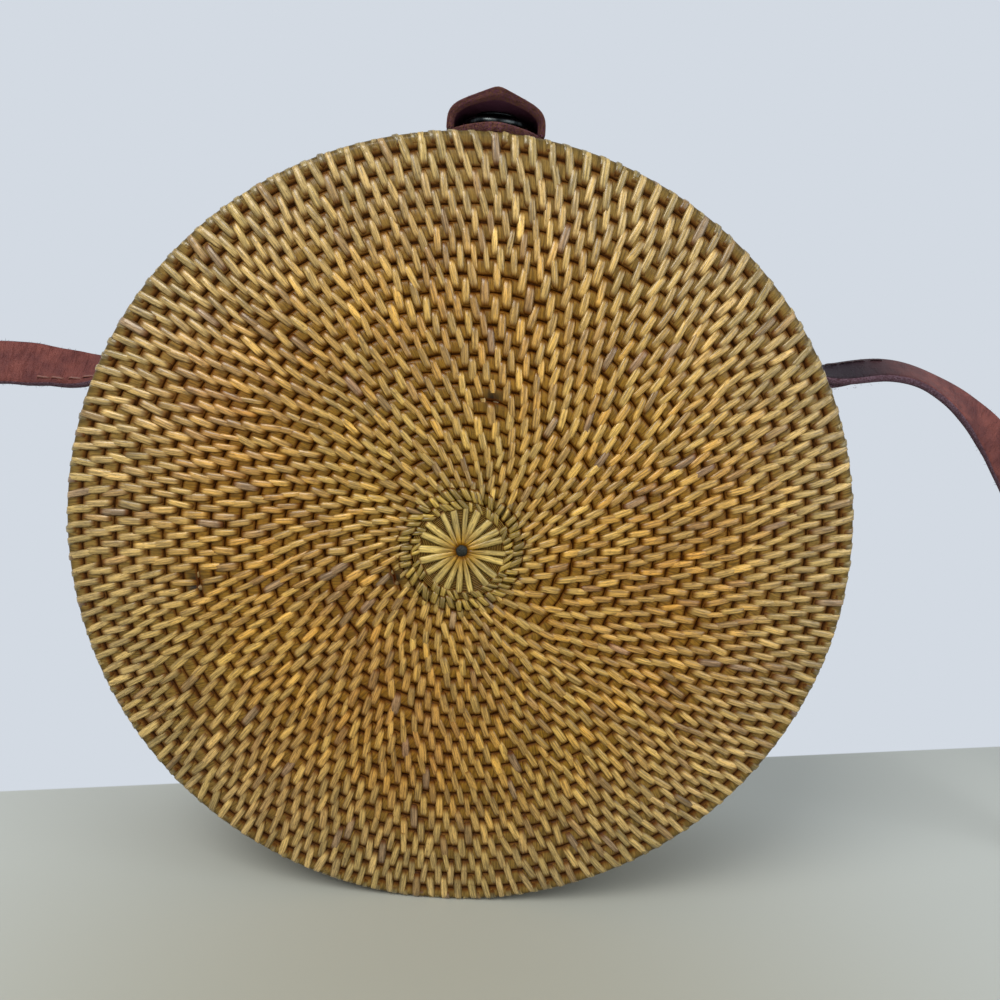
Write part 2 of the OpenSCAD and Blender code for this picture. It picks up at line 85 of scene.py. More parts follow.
# Clasp
CLASP_X = 1.5
TAB_T = 2.4
TAB_HALF = 12.3
TAB_TIP = CORNER_H - 0.75
POINT_L = 9.5
TAB_CURL = 2.0
BLUNT_SHARE = 0.11
TAB_SKIRT = -0.35
TIP_BEVEL = 2.2
ARCH_SQUARENESS = 4
TAB_BEND = 9.8
TAB_END = CORNER_H - 2.25
RAMP_END = 4.5
RIM_TOP = BAG_R + 0.1
PATCH_TOP = RIM_TOP + TAB_T
TAB_UNDER = 106.2
SNAP_BACK = TAB_TIP - 13.0
BASE_BACK = 2.4
SNAP_PLATE_T = 2.0
SNAP_AIR = 0.3

# Strap
STRAP_W = 13.0
STRAP_T = 2.2
STRAP_SIDE = BAG_R + 105.0
STRAP_FRONT = 165.0
STRAP_FOLD = 24.0
EAR_R = 1.7
EAR_REACH = 6.0
EAR_Y = 16.0
EAR_HALF = 9.4
EAR_BEND_R = 2.8
EAR_LEFT_ANGLE = math.radians(180 - 19)
EAR_RIGHT_ANGLE = math.radians(25)
BAR_CLEAR = EAR_R + 0.1 + STRAP_T / 2
PLY_CLEAR = (STRAP_T + 0.2) / 2
SPREAD_L = 6.5


def srgb(red, green, blue):
    """A colour as it is seen, in numbers to 255, as the light that it stands for."""
    seen = np.array([red, green, blue]) / 255
    return np.where(seen <= 0.04045, seen / 12.92, ((seen + 0.055) / 1.055) ** 2.4)


def rgba(*seen):
    return (*srgb(*seen), 1.0)


def smooth(low, high, value):
    """Goes from 0 at low to 1 at high, with no corner."""
    t = np.clip((value - low) / (high - low), 0, 1)
    return t * t * (3 - 2 * t)


def side_by_side(*values):
    """The values in a new last axis, each spread to the shape of the others."""
    return np.stack(np.broadcast_arrays(*values), -1)


def round_angles(count):
    """Angles that divide a circle evenly."""
    return np.arange(count) * TAU / count


def run_along(path):
    """Distance along a path at each of its points."""
    return np.concatenate([[0], np.cumsum(np.linalg.norm(np.diff(path, axis=0), axis=1))])


def rows_at(places, length, rows):
    """Rows of values that are given along a length, at other places along it."""
    return np.stack([np.interp(places, length, values) for values in rows.T], -1)


# Meshes

def tube_quads(rows, ring, count=1, loop=False):
    """Faces of tubes: rows of ring points each, round the ring, and from row to row.

    A loop joins its last row to its first, and any other tube is closed with a cap of quads.
    """
    k = np.arange(ring)
    after = (k + 1) % ring
    step = np.arange(rows if loop else rows - 1)[:, None]
    here, there = step * ring, (step + 1) % rows * ring
    quads = [np.stack([here + k, here + after, there + after, there + k], -1).reshape(-1, 4)]
    if not loop:
        c = np.arange(ring // 2 - 1)
        cap = np.stack([c, c + 1, ring - 2 - c, ring - 1 - c], -1)
        quads += [cap[:, ::-1], cap + (rows - 1) * ring]
    quads = np.concatenate(quads)
    return (quads[None] + (np.arange(count) * rows * ring)[:, None, None]).reshape(-1, 4)


def outward_faces(points, faces):
    """Turns the faces of a closed mesh round where its signed volume comes out negative."""
    a, b, c = (points[faces[:, k]] for k in (0, 1, 2))
    volume = np.einsum("ij,ij->", a, np.cross(b, c))
    if faces.shape[1] == 4:
        volume += np.einsum("ij,ij->", a, np.cross(c, points[faces[:, 3]]))
    return faces if volume > 0 else faces[:, ::-1]


def new_object(name, data):
    item = bpy.data.objects.new(name, data)
    bpy.context.scene.collection.objects.link(item)
    return item


def make_piece(name, points, faces, material, body=None, slot=None, replaces=(), **layers):
    """Makes an object of a closed mesh given in millimetres. Layers are attributes of its points."""
    points = np.asarray(points, float).reshape(-1, 3)
    faces = outward_faces(points, faces)
    mesh = bpy.data.meshes.new(name)
    mesh.vertices.add(len(points))
    mesh.vertices.foreach_set("co", (points * MM).ravel())
    mesh.loops.add(faces.size)
    mesh.loops.foreach_set("vertex_index", np.ascontiguousarray(faces).ravel())
    mesh.polygons.add(len(faces))
    mesh.polygons.foreach_set("loop_start", np.arange(0, faces.size, faces.shape[1]))
    mesh.update(calc_edges=True)
    mesh.shade_smooth()
    for key, values in layers.items():
        values = np.asarray(values, float)
        kind, field = {1: ("FLOAT", "value"), 3: ("FLOAT_VECTOR", "vector")}[
            1 if values.size == len(points) else 3]
        mesh.attributes.new(key, kind, "POINT").data.foreach_set(field, values.ravel())
    mesh.materials.append(material)
    piece = new_object(name, mesh)
    if replaces:
        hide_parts(*replaces)
    if body:
        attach(piece, body)
    return piece


def on_half(side, radius, angle, height):
    """Points of a half, from its own coordinates."""
    return side_by_side(radius * np.cos(angle), side * height, CENTRE_Z + radius * np.sin(angle))


def above_ground(points, ground=0.03):
    """Presses flat what would reach under the ground."""
    points[..., 2] = np.maximum(points[..., 2], ground)
    return points


def unit(vectors):
    return vectors / np.linalg.norm(vectors, axis=-1, keepdims=True)


def frames_along(path):
    """Two directions square to a path that turn with it as little as they can."""
    tangent = unit(np.gradient(path, axis=0))
    normal = np.empty_like(tangent)
    start = np.cross(tangent[0], [0.0, 0.0, 1.0])
    normal[0] = unit(start if np.linalg.norm(start) > 0.2 else np.cross(tangent[0], [0.0, 1.0, 0.0]))
    for i in range(1, len(path)):
        normal[i] = unit(normal[i - 1] - (normal[i - 1] @ tangent[i]) * tangent[i])
    return normal, np.cross(tangent, normal)


def tube_points(path, first, second, size, turn):
    """Points of a tube of some size round a path, at angles from the first direction to the second."""
    return (path[..., None, :] + first[..., None, :] * (size * np.cos(turn))[..., None]
            + second[..., None, :] * (size * np.sin(turn))[..., None])


# Shader nodes

def add(tree, kind, inputs=(), **settings):
    """Adds a node. An input that is a socket is linked, and any other value is set."""
    node = tree.nodes.new(kind)
    for key, value in settings.items():
        setattr(node, key, value)
    for key, value in dict(inputs).items():
        if isinstance(value, bpy.types.NodeSocket):
            tree.links.new(value, node.inputs[key])
        else:
            node.inputs[key].default_value = value
    return node


def math_node(tree, operation, a, b=0.0):
    return add(tree, "ShaderNodeMath", {0: a, 1: b}, operation=operation).outputs[0]


def mix_colour(tree, share, a, b):
    return add(tree, "ShaderNodeMix", {0: share, 6: a, 7: b}, data_type="RGBA").outputs[2]


def spread_range(tree, value, low, high, to_low=0.0, to_high=1.0):
    inputs = {"Value": value, "From Min": low, "From Max": high, "To Min": to_low, "To Max": to_high}
    return add(tree, "ShaderNodeMapRange", inputs, interpolation_type="SMOOTHSTEP").outputs[0]


def noise(tree, vector, scale, detail=2.0, roughness=0.5):
    inputs = {"Vector": vector, "Scale": scale, "Detail": detail, "Roughness": roughness}
    return add(tree, "ShaderNodeTexNoise", inputs).outputs[0]


def stretched(tree, vector, x, y, z):
    return add(tree, "ShaderNodeVectorMath", {0: vector, 1: (x, y, z)}, operation="MULTIPLY").outputs[0]


def attribute(tree, name, output="Vector"):
    return add(tree, "ShaderNodeAttribute", attribute_name=name).outputs[output]


def object_place(tree):
    return add(tree, "ShaderNodeTexCoord").outputs["Object"]


def seen_rays(tree, *kinds):
    """1 for rays of the kinds given, and 0 for others."""
    rays = add(tree, "ShaderNodeLightPath").outputs
    seen = rays[kinds[0]]
    for kind in kinds[1:]:
        seen = math_node(tree, "MAXIMUM", seen, rays[kind])
    return seen


def new_group(name, place, size, outputs):
    """A node group that makes numbers from a vector and a number, all by name."""
    tree = bpy.data.node_groups.new(name, "ShaderNodeTree")
    tree.interface.new_socket(place, in_out="INPUT", socket_type="NodeSocketVector")
    tree.interface.new_socket(size, in_out="INPUT", socket_type="NodeSocketFloat")
    for key in outputs:
        tree.interface.new_socket(key, in_out="OUTPUT", socket_type="NodeSocketFloat")
    return tree, tree.nodes.new("NodeGroupInput").outputs, tree.nodes.new("NodeGroupOutput").inputs


def fibre_group():
    """Streaks along a strip, short dark pores, and the height of both, from Grain: across, along, seed."""
    tree, given, result = new_group("fibre_streaks", "Grain", "Fineness", ["Streaks", "Pores", "Height"])
    grain, fineness = given["Grain"], given["Fineness"]
    streaks = noise(tree, stretched(tree, grain, 1.0, 0.07, 1.0), fineness, 4.0, 0.65)
    dashes = noise(tree, stretched(tree, grain, 2.2, 0.3, 1.0), fineness, 2.0)
    pores = spread_range(tree, dashes, 0.58, 0.7)
    height = math_node(tree, "SUBTRACT", streaks, math_node(tree, "MULTIPLY", pores, 0.5))
    tree.links.new(spread_range(tree, streaks, 0.3, 0.7), result["Streaks"])
    tree.links.new(pores, result["Pores"])
    tree.links.new(height, result["Height"])
    return tree


def hide_group():
    """Grain of leather: fine valleys between raised cells, and a soft mottle."""
    tree, given, result = new_group("hide_grain", "Place", "Cells", ["Valleys", "Mottle"])
    wander = add(tree, "ShaderNodeTexNoise", {"Vector": given["Place"], "Scale": 260.0, "Detail": 3.0})
    shift = stretched(tree, wander.outputs["Color"], HIDE_SHIFT, HIDE_SHIFT, HIDE_SHIFT)
    place = add(tree, "ShaderNodeVectorMath", {0: given["Place"], 1: shift}, operation="ADD").outputs[0]
    cells = add(tree, "ShaderNodeTexVoronoi", {"Vector": place, "Scale": given["Cells"]},
                feature="DISTANCE_TO_EDGE").outputs["Distance"]
    tree.links.new(spread_range(tree, cells, 0.0, 0.16, 1.0, 0.0), result["Valleys"])
    tree.links.new(noise(tree, place, 150.0, 5.0, 0.6), result["Mottle"])
    return tree


def new_material(name):
    material = bpy.data.materials.new(name)
    material.use_nodes = True
    tree = material.node_tree
    return material, tree, tree.nodes["Principled BSDF"]


def grouped(tree, group, inputs):
    """Places a group with its own values."""
    return add(tree, "ShaderNodeGroup", inputs, node_tree=group).outputs


def finish_surface(tree, shader, colour, roughness, height, bump=0.4, reach=0.0001, **plain):
    """Joins colour, roughness and bump to the shader. Plain values are set on its own sockets."""
    tree.links.new(colour, shader.inputs["Base Color"])
    if isinstance(roughness, bpy.types.NodeSocket):
        tree.links.new(roughness, shader.inputs["Roughness"])
    else:
        shader.inputs["Roughness"].default_value = roughness
    node = add(tree, "ShaderNodeBump", {"Height": height, "Strength": bump, "Distance": reach})
    tree.links.new(node.outputs[0], shader.inputs["Normal"])
    for key, value in plain.items():
        shader.inputs[key.replace("_", " ").title().replace("Ior", "IOR")].default_value = value


# Tones and sizes inside the materials
PORE = rgba(84, 50, 14)
# Tones mixed in where strips and coils sink into the grooves: dirt and painted shade
DIVE_STAIN_AND_SHADE = rgba(92, 44, 4)
GROOVE_DIRT_AND_SHADE = rgba(50, 19, 1)
KNOT_TONES = (rgba(20, 22, 18), rgba(50, 50, 44))
# Painted shade: the dark tone laid over the strap's last part, by the right loop
SHADED_HIDE = rgba(38, 26, 33)
COTTON_TONES = (rgba(204, 188, 158), rgba(218, 203, 174))
COTTON_SHADE = rgba(150, 128, 96)
HIDE_SHIFT = 0.0012
HIDE_CELLS = 1500.0


def cane_material(name, fineness=2.6, gloss=0.38, coat=1.0, streak=1.0):
    """Varnished split cane: each strip's own colour, fibre streaks, pores, and dirt with painted shade
    where it dives.
    """
    material, tree, shader = new_material(name)
    own = attribute(tree, "cane_colour", "Color")
    fibre = grouped(tree, FIBRE, {"Grain": attribute(tree, "grain"), "Fineness": fineness})
    light = spread_range(tree, fibre["Streaks"], 0.0, 1.0, 1 - 0.45 * streak, 1 + 0.36 * streak)
    lit = add(tree, "ShaderNodeVectorMath", {0: own, "Scale": light}, operation="SCALE").outputs[0]
    pored = mix_colour(tree, math_node(tree, "MULTIPLY", fibre["Pores"], 0.6), lit, PORE)
    dive = attribute(tree, "dive", "Fac")
    # Darker where the cane dives into a groove: partly dirt, partly painted shade in the hollow
    stained = mix_colour(tree, spread_range(tree, dive, 0.0, 0.62, 0.0, 0.7), pored, DIVE_STAIN_AND_SHADE)
    colour = mix_colour(tree, spread_range(tree, dive, 0.45, 0.98, 0.0, 0.92), stained, GROOVE_DIRT_AND_SHADE)
    rough = spread_range(tree, fibre["Streaks"], 0.0, 1.0, gloss - 0.06, gloss + 0.2)
    finish_surface(tree, shader, colour, rough, fibre["Height"], 0.5, 0.00012,
                   coat_roughness=0.26, specular_ior_level=0.06)
    tree.links.new(spread_range(tree, dive, 0.1, 0.6, coat, 0.0), shader.inputs["Coat Weight"])
    return material


def eye_material():
    material, tree, shader = new_material("dark_knot")
    place = object_place(tree)
    colour = mix_colour(tree, noise(tree, place, 900.0, 3.0), *KNOT_TONES)
    finish_surface(tree, shader, colour, 0.5, noise(tree, place, 1800.0, 3.0), 0.6, 0.0002,
                   specular_ior_level=0.2)
    return material


def leather_material(name, face, flesh, cut, deep):
    """Vegetable-tanned leather: a grained face, a napped flesh side and pale, fibrous cut edges.

    The attribute part holds 0 on the face and 1 on the flesh side, edge holds 1 on the cut edges, and
    aged holds 1 where shade is painted onto the face.
    """
    material, tree, shader = new_material(name)
    place = object_place(tree)
    hide = grouped(tree, HIDE, {"Place": place, "Cells": HIDE_CELLS})
    folds = noise(tree, stretched(tree, attribute(tree, "grain"), 0.3, 1.3, 1.0), 0.7, 5.0, 0.75)
    wrinkle = spread_range(tree, folds, 0.52, 0.66)
    mottled = mix_colour(tree, spread_range(tree, hide["Mottle"], 0.3, 0.7), deep, face)
    # Darker in the creases of the wrinkles: painted shade
    creased = mix_colour(tree, math_node(tree, "MULTIPLY", wrinkle, 0.32), mottled, deep)
    # Painted shade over the part of the strap that lies in shadow
    creased = mix_colour(tree, attribute(tree, "aged", "Fac"), creased, SHADED_HIDE)
    nap = noise(tree, place, 1500.0, 4.0, 0.7)
    napped = mix_colour(tree, spread_range(tree, nap, 0.2, 0.5), deep, flesh)
    sided = mix_colour(tree, attribute(tree, "part", "Fac"), creased, napped)
    fibres = spread_range(tree, noise(tree, place, 2600.0, 3.0, 0.7), 0.35, 0.65)
    edge = spread_range(tree, attribute(tree, "edge", "Fac"), 0.15, 0.75)
    colour = mix_colour(tree, edge, sided, mix_colour(tree, fibres, flesh, cut))
    rough = spread_range(tree, edge, 0.0, 1.0, 0.5, 0.85)
    relief = math_node(tree, "SUBTRACT", nap, math_node(tree, "MULTIPLY", hide["Valleys"], 0.35))
    relief = math_node(tree, "SUBTRACT", relief, math_node(tree, "MULTIPLY", wrinkle, 0.9))
    finish_surface(tree, shader, colour, rough, relief, 0.7, 0.0003, specular_ior_level=0.14)
    return material


def metal_material(name, light, dark, gloss):
    """Plated metal with a worn plating and fine scratches."""
    material, tree, shader = new_material(name)
    place = object_place(tree)
    worn = spread_range(tree, noise(tree, place, 420.0, 4.0, 0.6), 0.4, 0.7)
    scratches = noise(tree, stretched(tree, place, 1.0, 7.0, 1.0), 1400.0, 2.0)
    rough = spread_range(tree, scratches, 0.2, 0.8, gloss - 0.08, gloss + 0.16)
    finish_surface(tree, shader, mix_colour(tree, worn, dark, light), rough, scratches, 0.12, 0.00004,
                   metallic=1.0)
    return material


def wave_node(tree, vector, scale, distortion, **settings):
    inputs = {"Vector": vector, "Scale": scale, "Distortion": distortion}
    return add(tree, "ShaderNodeTexWave", inputs, **settings)


def thread_material(name, light, dark):
    """Twisted waxed thread, with its plies running along grain."""
    material, tree, shader = new_material(name)
    along = stretched(tree, attribute(tree, "grain"), 0.5, 1.0, 0.0)
    plies = wave_node(tree, along, 1.1, 0.4).outputs["Fac"]
    # Colour follows the plies: darker in the grooves between them, as painted shade
    finish_surface(tree, shader, mix_colour(tree, plies, dark, light), 0.55, plies, 0.5)
    return material


def cotton_material():
    """Plain-woven cotton: warp and weft cross at 0.45 mm, with slubs and a soft sheen."""
    material, tree, shader = new_material("lining_cotton")
    grain = attribute(tree, "grain")
    threads = []
    for direction in ("X", "Y"):
        node = wave_node(tree, grain, 0.7, 0.6, bands_direction=direction)
        node.inputs["Detail"].default_value = 1.0
        threads.append(node.outputs["Fac"])
    weave = math_node(tree, "MAXIMUM", *threads)
    slubs = noise(tree, stretched(tree, grain, 0.1, 1.4, 1.0), 0.6, 3.0)
    base = mix_colour(tree, spread_range(tree, slubs, 0.35, 0.7), *COTTON_TONES)
    colour = mix_colour(tree, spread_range(tree, weave, 0.2, 0.9, 0.5, 0.0), base, COTTON_SHADE)
    finish_surface(tree, shader, colour, 0.85, weave, 0.5, 0.0002, sheen_weight=0.2)
    return material


FIBRE = fibre_group()
HIDE = hide_group()
SPLIT_CANE = cane_material("split_cane")
EDGE_CANE = cane_material("edge_cane", 2.2, 0.4, 0.8)
CORE = cane_material("core_cane", 2.4, 0.4, 0.25, 0.9)
KNOT = eye_material()
STRAP_LEATHER = leather_material("strap_leather", rgba(122, 69, 62), rgba(80, 52, 60),
                                 rgba(112, 90, 102), rgba(92, 50, 49))
CLASP_LEATHER = leather_material("clasp_leather", rgba(70, 42, 38), rgba(92, 54, 72),
                                 rgba(104, 70, 44), rgba(40, 23, 28))
WAXED = thread_material("waxed_thread", rgba(146, 92, 76), rgba(92, 48, 42))
# Darker thread for the right fold: painted shade, matching the shaded end of the strap
SHADED_THREAD = thread_material("shaded_thread", rgba(62, 42, 46), rgba(38, 25, 30))
GUNMETAL = metal_material("gunmetal", rgba(70, 74, 74), rgba(24, 28, 30), 0.26)
BRASS = metal_material("antique_brass", rgba(150, 124, 84), rgba(88, 70, 48), 0.34)
NICKEL = metal_material("nickel", rgba(196, 196, 190), rgba(150, 150, 146), 0.3)
COTTON = cotton_material()
BRAID = thread_material("lining_braid", rgba(150, 112, 66), rgba(88, 60, 32))


# Camera

CAMERA_AT = Vector((1.9, -278.5, 157.4)) * MM
CAMERA_YAW = math.radians(1.58)
CAMERA_PITCH = math.radians(10.57)
CAMERA_ROLL = math.radians(4.11)


def make_camera():
    """Looks along +Y, turned by yaw, tilted down by pitch and rolled; the view spans 53.1 degrees."""
    data = bpy.data.cameras.new("camera")
    data.sensor_width = 36.0
    data.lens = 36.0
    data.clip_start = 0.01
    camera = new_object("camera", data)
    ahead = Vector((math.sin(CAMERA_YAW) * math.cos(CAMERA_PITCH),
                    math.cos(CAMERA_YAW) * math.cos(CAMERA_PITCH), -math.sin(CAMERA_PITCH)))
    level = Vector((math.cos(CAMERA_YAW), -math.sin(CAMERA_YAW), 0.0))
    upright = level.cross(ahead)
    right = level * math.cos(CAMERA_ROLL) + upright * math.sin(CAMERA_ROLL)
    up = upright * math.cos(CAMERA_ROLL) - level * math.sin(CAMERA_ROLL)
    turn = Matrix((right, up, -ahead)).transposed()
    camera.matrix_world = Matrix.Translation(CAMERA_AT) @ turn.to_4x4()
    bpy.context.scene.camera = camera


# The strap's route: each row holds a point and the direction of its outer face

AIR_LEFT_SHARES = [
    [0.102, 0.983, 1, 36], [0.217, 0.988, 1, 54], [0.35, 0.993, 1, 64], [0.511, 0.979, 1, 50],
    [0.667, 0.912, 1, 28], [0.791, 0.772, 1, 28], [0.867, 0.582, 1, 50], [0.918, 0.369, 0.95, 76],
    [0.951, 0.157, 0.7, 72]]
AIR_RIGHT_SHARES = [
    [0.091, 1.009, 1, 17], [0.219, 1.024, 1, 19], [0.339, 1.013, 1, 22], [0.458, 0.965, 1, 35],
    [0.58, 0.877, 1, 60], [0.716, 0.72, 1, 75], [0.825, 0.527, 1, 86], [0.898, 0.319, 0.95, 84],
    [0.947, 0.135, 0.7, 72]]
GROUND_SHARES = [
    [0.985, -0.02, 0], [0.99, -0.16, 0.12], [0.985, -0.32, 0.62], [0.955, -0.5, 1],
    [0.87, -0.68, 1], [0.73, -0.83, 1], [0.54, -0.93, 1], [0.28, -0.985, 1]]
ROUTE_STEPS = 12
BAR_STEPS = 16


def ear_bar(angle):
    """Middle of the bar of a loop at this angle."""
    reach = BAG_R + EAR_REACH
    return np.array([reach * math.cos(angle), EAR_Y, CENTRE_Z + reach * math.sin(angle)])


def air_row(row, bar):
    """A row beside the bag, from shares of the way out, of the bar's height and of EAR_Y."""
    out = math.copysign(STRAP_SIDE, bar[0]) - bar[0]
    turn = math.radians(row[3])
    return [[bar[0] + row[0] * out, row[2] * EAR_Y, row[1] * bar[2]], [0, -math.sin(turn), math.cos(turn)]]


def ground_row(row, side):
    """A row on the ground, from shares of STRAP_SIDE and STRAP_FRONT, turned on its edge by row[2]."""
    out = np.array([side * row[0] * STRAP_SIDE, row[1] * STRAP_FRONT, 0.0])
    normal = np.array([0, 0, 1 - row[2]]) + row[2] * out / np.linalg.norm(out)
    size = np.linalg.norm(normal)
    out[2] = (row[2] * STRAP_W + (1 - row[2]) * STRAP_T) / (2 * size)
    return [list(out), list(normal / size)]


def strap_route():
    """Rows of the whole strap by Catmull-Rom curves through the rows above, laid on the ground."""
    left, right = ear_bar(EAR_LEFT_ANGLE), ear_bar(EAR_RIGHT_ANGLE)
    rows = [[list(left), [0, 0, 1]]]
    rows += [air_row(row, left) for row in AIR_LEFT_SHARES]
    rows += [ground_row(row, -1) for row in GROUND_SHARES]
    rows += [[[0, -STRAP_FRONT, STRAP_W / 2], [0, -1, 0]]]
    rows += [ground_row(row, 1) for row in reversed(GROUND_SHARES)]
    rows += [air_row(row, right) for row in reversed(AIR_RIGHT_SHARES)]
    rows += [[list(right), [0, 0, 1]]]
    rows = np.array(rows, float)
    spans = np.arange(len(rows) - 1)
    p, q, r, s = (rows[np.clip(spans + k, 0, len(rows) - 1)][:, None] for k in (-1, 0, 1, 2))
    t = (np.arange(ROUTE_STEPS) / ROUTE_STEPS)[None, :, None, None]
    square, cube = 2 * p - 5 * q + 4 * r - s, 3 * q - p - 3 * r + s
    curve = (2 * q + (r - p) * t + square * t ** 2 + cube * t ** 3) / 2
    rows = np.concatenate([curve.reshape(-1, 2, 3), rows[-1:]])
    middle, face = rows[:, 0], rows[:, 1]
    along = unit(np.gradient(middle, axis=0))
    face = unit(face - np.sum(face * along, -1, keepdims=True) * along)
    wide = np.cross(along, face)
    lowest = STRAP_W / 2 * np.abs(wide[:, 2]) + STRAP_T / 2 * np.abs(face[:, 2])
    middle[:, 2] = np.maximum(middle[:, 2], lowest)
    return middle, along, face, wide, run_along(middle)


def ply_spread(s):
    """Half the distance between the two plies of the sewn fold, s from the loop's bar."""
    close = np.cos(np.pi / 2 * np.clip(s / SPREAD_L, 0, 1)) ** 2
    leave = np.cos(np.pi / 2 * np.clip((s - STRAP_FOLD) / (3 * SPREAD_L), 0, 1)) ** 2
    return np.where(s < STRAP_FOLD, PLY_CLEAR + (BAR_CLEAR - PLY_CLEAR) * close, PLY_CLEAR * leave)


def strap_rows():
    """The strap from the tip of one fold, round the bar, along the route, and round the other bar."""
    middle, along, face, wide, run = strap_route()
    last = len(run) - 1
    near = np.minimum(run, run[-1] - run)
    spread = ply_spread(near)[:, None]
    outer = np.concatenate([middle + spread * face, face, wide], 1)
    inner = np.concatenate([middle - spread * face, -face, wide], 1)

    def bar_arc(i, sense):
        """Half a turn round the bar at row i."""
        turn = np.pi * np.arange(1, BAR_STEPS)[:, None] / BAR_STEPS
        normal = -sense * np.cos(turn) * face[i] - np.sin(turn) * along[i] * sense
        sideways = np.repeat(wide[i][None], len(turn), 0)
        return np.concatenate([middle[i] + BAR_CLEAR * normal, normal, sideways], 1)

    start = inner[:last // 2][near[:last // 2] < STRAP_FOLD][::-1]
    stop = inner[last // 2:][near[last // 2:] < STRAP_FOLD][::-1]
    rows = np.concatenate([start, bar_arc(0, 1), outer, bar_arc(last, -1), stop])
    return rows[:, :3], rows[:, 3:6], rows[:, 6:9], run_along(rows[:, :3])


def band_ring():
    """Section of a leather band: shares of half its width and thickness, and 1 on the cut edges."""
    flat = np.linspace(-0.93, 0.93, 9)
    turn = np.linspace(math.pi / 2, -math.pi / 2, 5)[1:-1]
    top = np.stack([flat, 1.0 + 0.05 * (1 - flat ** 2), 0 * flat], -1)
    side = np.stack([0.955 + 0.045 * np.cos(turn), 0.9 * np.sin(turn), 0 * turn + 1], -1)
    bottom = np.stack([flat[::-1], -1.0 + 0 * flat, 0 * flat], -1)
    return np.concatenate([top, side, bottom, side[::-1] * [-1, 1, 1]])


# Where the strap's inner ply is narrowed and skived, from its tip, and where painted shade darkens its last
# part
NARROWED = (4, 30)
NARROWED_BY = 0.42
SKIVED = (0, 28)
THINNEST = 0.12
STRAP_SHADE_SPAN = (46, 78)
WAVE_STEP = 6.0
WAVE_SIZE = 0.13
STRAP_FIBRES_PER_ROW = 5


def make_strap():
    """A flat leather band swept along its route, with wavy, worn edges and a slight crown."""
    places, normal, wide, length = strap_rows()
    ring = band_ring()
    rng = np.random.default_rng(11)
    stations = np.arange(0, length[-1] + WAVE_STEP, WAVE_STEP)
    wave = np.interp(length, stations, rng.normal(0, WAVE_SIZE, len(stations)))
    from_tip = np.minimum(length, length[-1] - length)
    half_w = (STRAP_W / 2 + wave) * (1 - NARROWED_BY * (1 - smooth(*NARROWED, from_tip)))
    swell = 1 + 0.05 * np.sin(length / 23.0) * np.sin(length / 7.1)
    skived = THINNEST + (1 - THINNEST) * smooth(*SKIVED, from_tip)[:, None]
    level = (ring[:, 1] * skived - (1 - skived)) * STRAP_T / 2 * swell[:, None]
    points = (places[:, None] + wide[:, None] * (ring[:, 0] * half_w[:, None])[..., None]
              + normal[:, None] * level[..., None])
    points = above_ground(points, 0.0)
    grain = side_by_side(ring[:, 0] * STRAP_W / 2, length[:, None], ring[:, 1])
    edge = np.broadcast_to(ring[:, 2], points.shape[:2])
    part = np.broadcast_to((ring[:, 1] < -0.95).astype(float), points.shape[:2])
    # Painted shade over the last part of the strap, by the right loop
    aged = (1 - smooth(*STRAP_SHADE_SPAN, length[-1] - length))[:, None] + 0 * ring[:, 0]
    make_piece("leather_strap", points, tube_quads(len(places), len(ring)), STRAP_LEATHER, "back_half",
               "strap_leather", ["shoulder_strap"], grain=grain, edge=edge, part=part, aged=aged)
    make_strap_fibres(places, normal, wide, half_w, rng)


def make_strap_fibres(places, normal, wide, half_w, rng):
    """Loose fibres on the strap's cut edges, leaning at random."""
    count = len(places) * STRAP_FIBRES_PER_ROW
    row = rng.integers(1, len(places) - 2, count)
    share = rng.random(count)[:, None]
    side = rng.choice([-1.0, 1.0], count)[:, None]
    along = unit(places[row + 1] - places[row] + 1e-9)
    root = places[row] * (1 - share) + places[row + 1] * share
    root = root + wide[row] * side * (half_w[row][:, None] - 0.08)
    root = root + normal[row] * rng.uniform(-0.85, 0.85, (count, 1))
    lean = (wide[row] * side + normal[row] * rng.normal(0, 0.5, (count, 1))
            + along * rng.normal(0, 0.8, (count, 1)))
    tip = root + unit(lean) * rng.uniform(0.25, 1.05, (count, 1))
    make_fibres("strap_fuzz", root, tip, along, normal[row], 0.055, 0.6, STRAP_LEATHER, "strap_leather",
                "back_half")


def make_fibres(name, root, tip, along, up, thick, back, material, slot, body):
    """Fibres as thin three-sided spikes, with two corners of each foot set back by a share."""
    corner = along * thick * back
    points = [root + along * thick, root + up * thick - corner, root - up * thick - corner, tip]
    points = above_ground(np.stack(points, 1), 0.02)
    sides = np.array([[0, 2, 1], [0, 1, 3], [1, 2, 3], [2, 0, 3]])
    faces = (sides[None] + 4 * np.arange(len(root))[:, None, None]).reshape(-1, 3)
    ones = np.ones(points.size // 3)
    make_piece(name, points, faces, material, body, slot, grain=points * 0.9, edge=ones, part=ones * 0)


# The weave

def groove_r(i):
    """Radius of the groove on the inner side of coil i of a face; the coils get narrower steadily."""
    face_pitch = (RIM_GROOVE_R - HUB_R) / FACE_COILS
    return RIM_GROOVE_R - i * face_pitch - COIL_TAPER * i * (1 - i / FACE_COILS) / 2


def rise(r):
    return DOME_H * (1 - (r / WALL_R) ** 2)


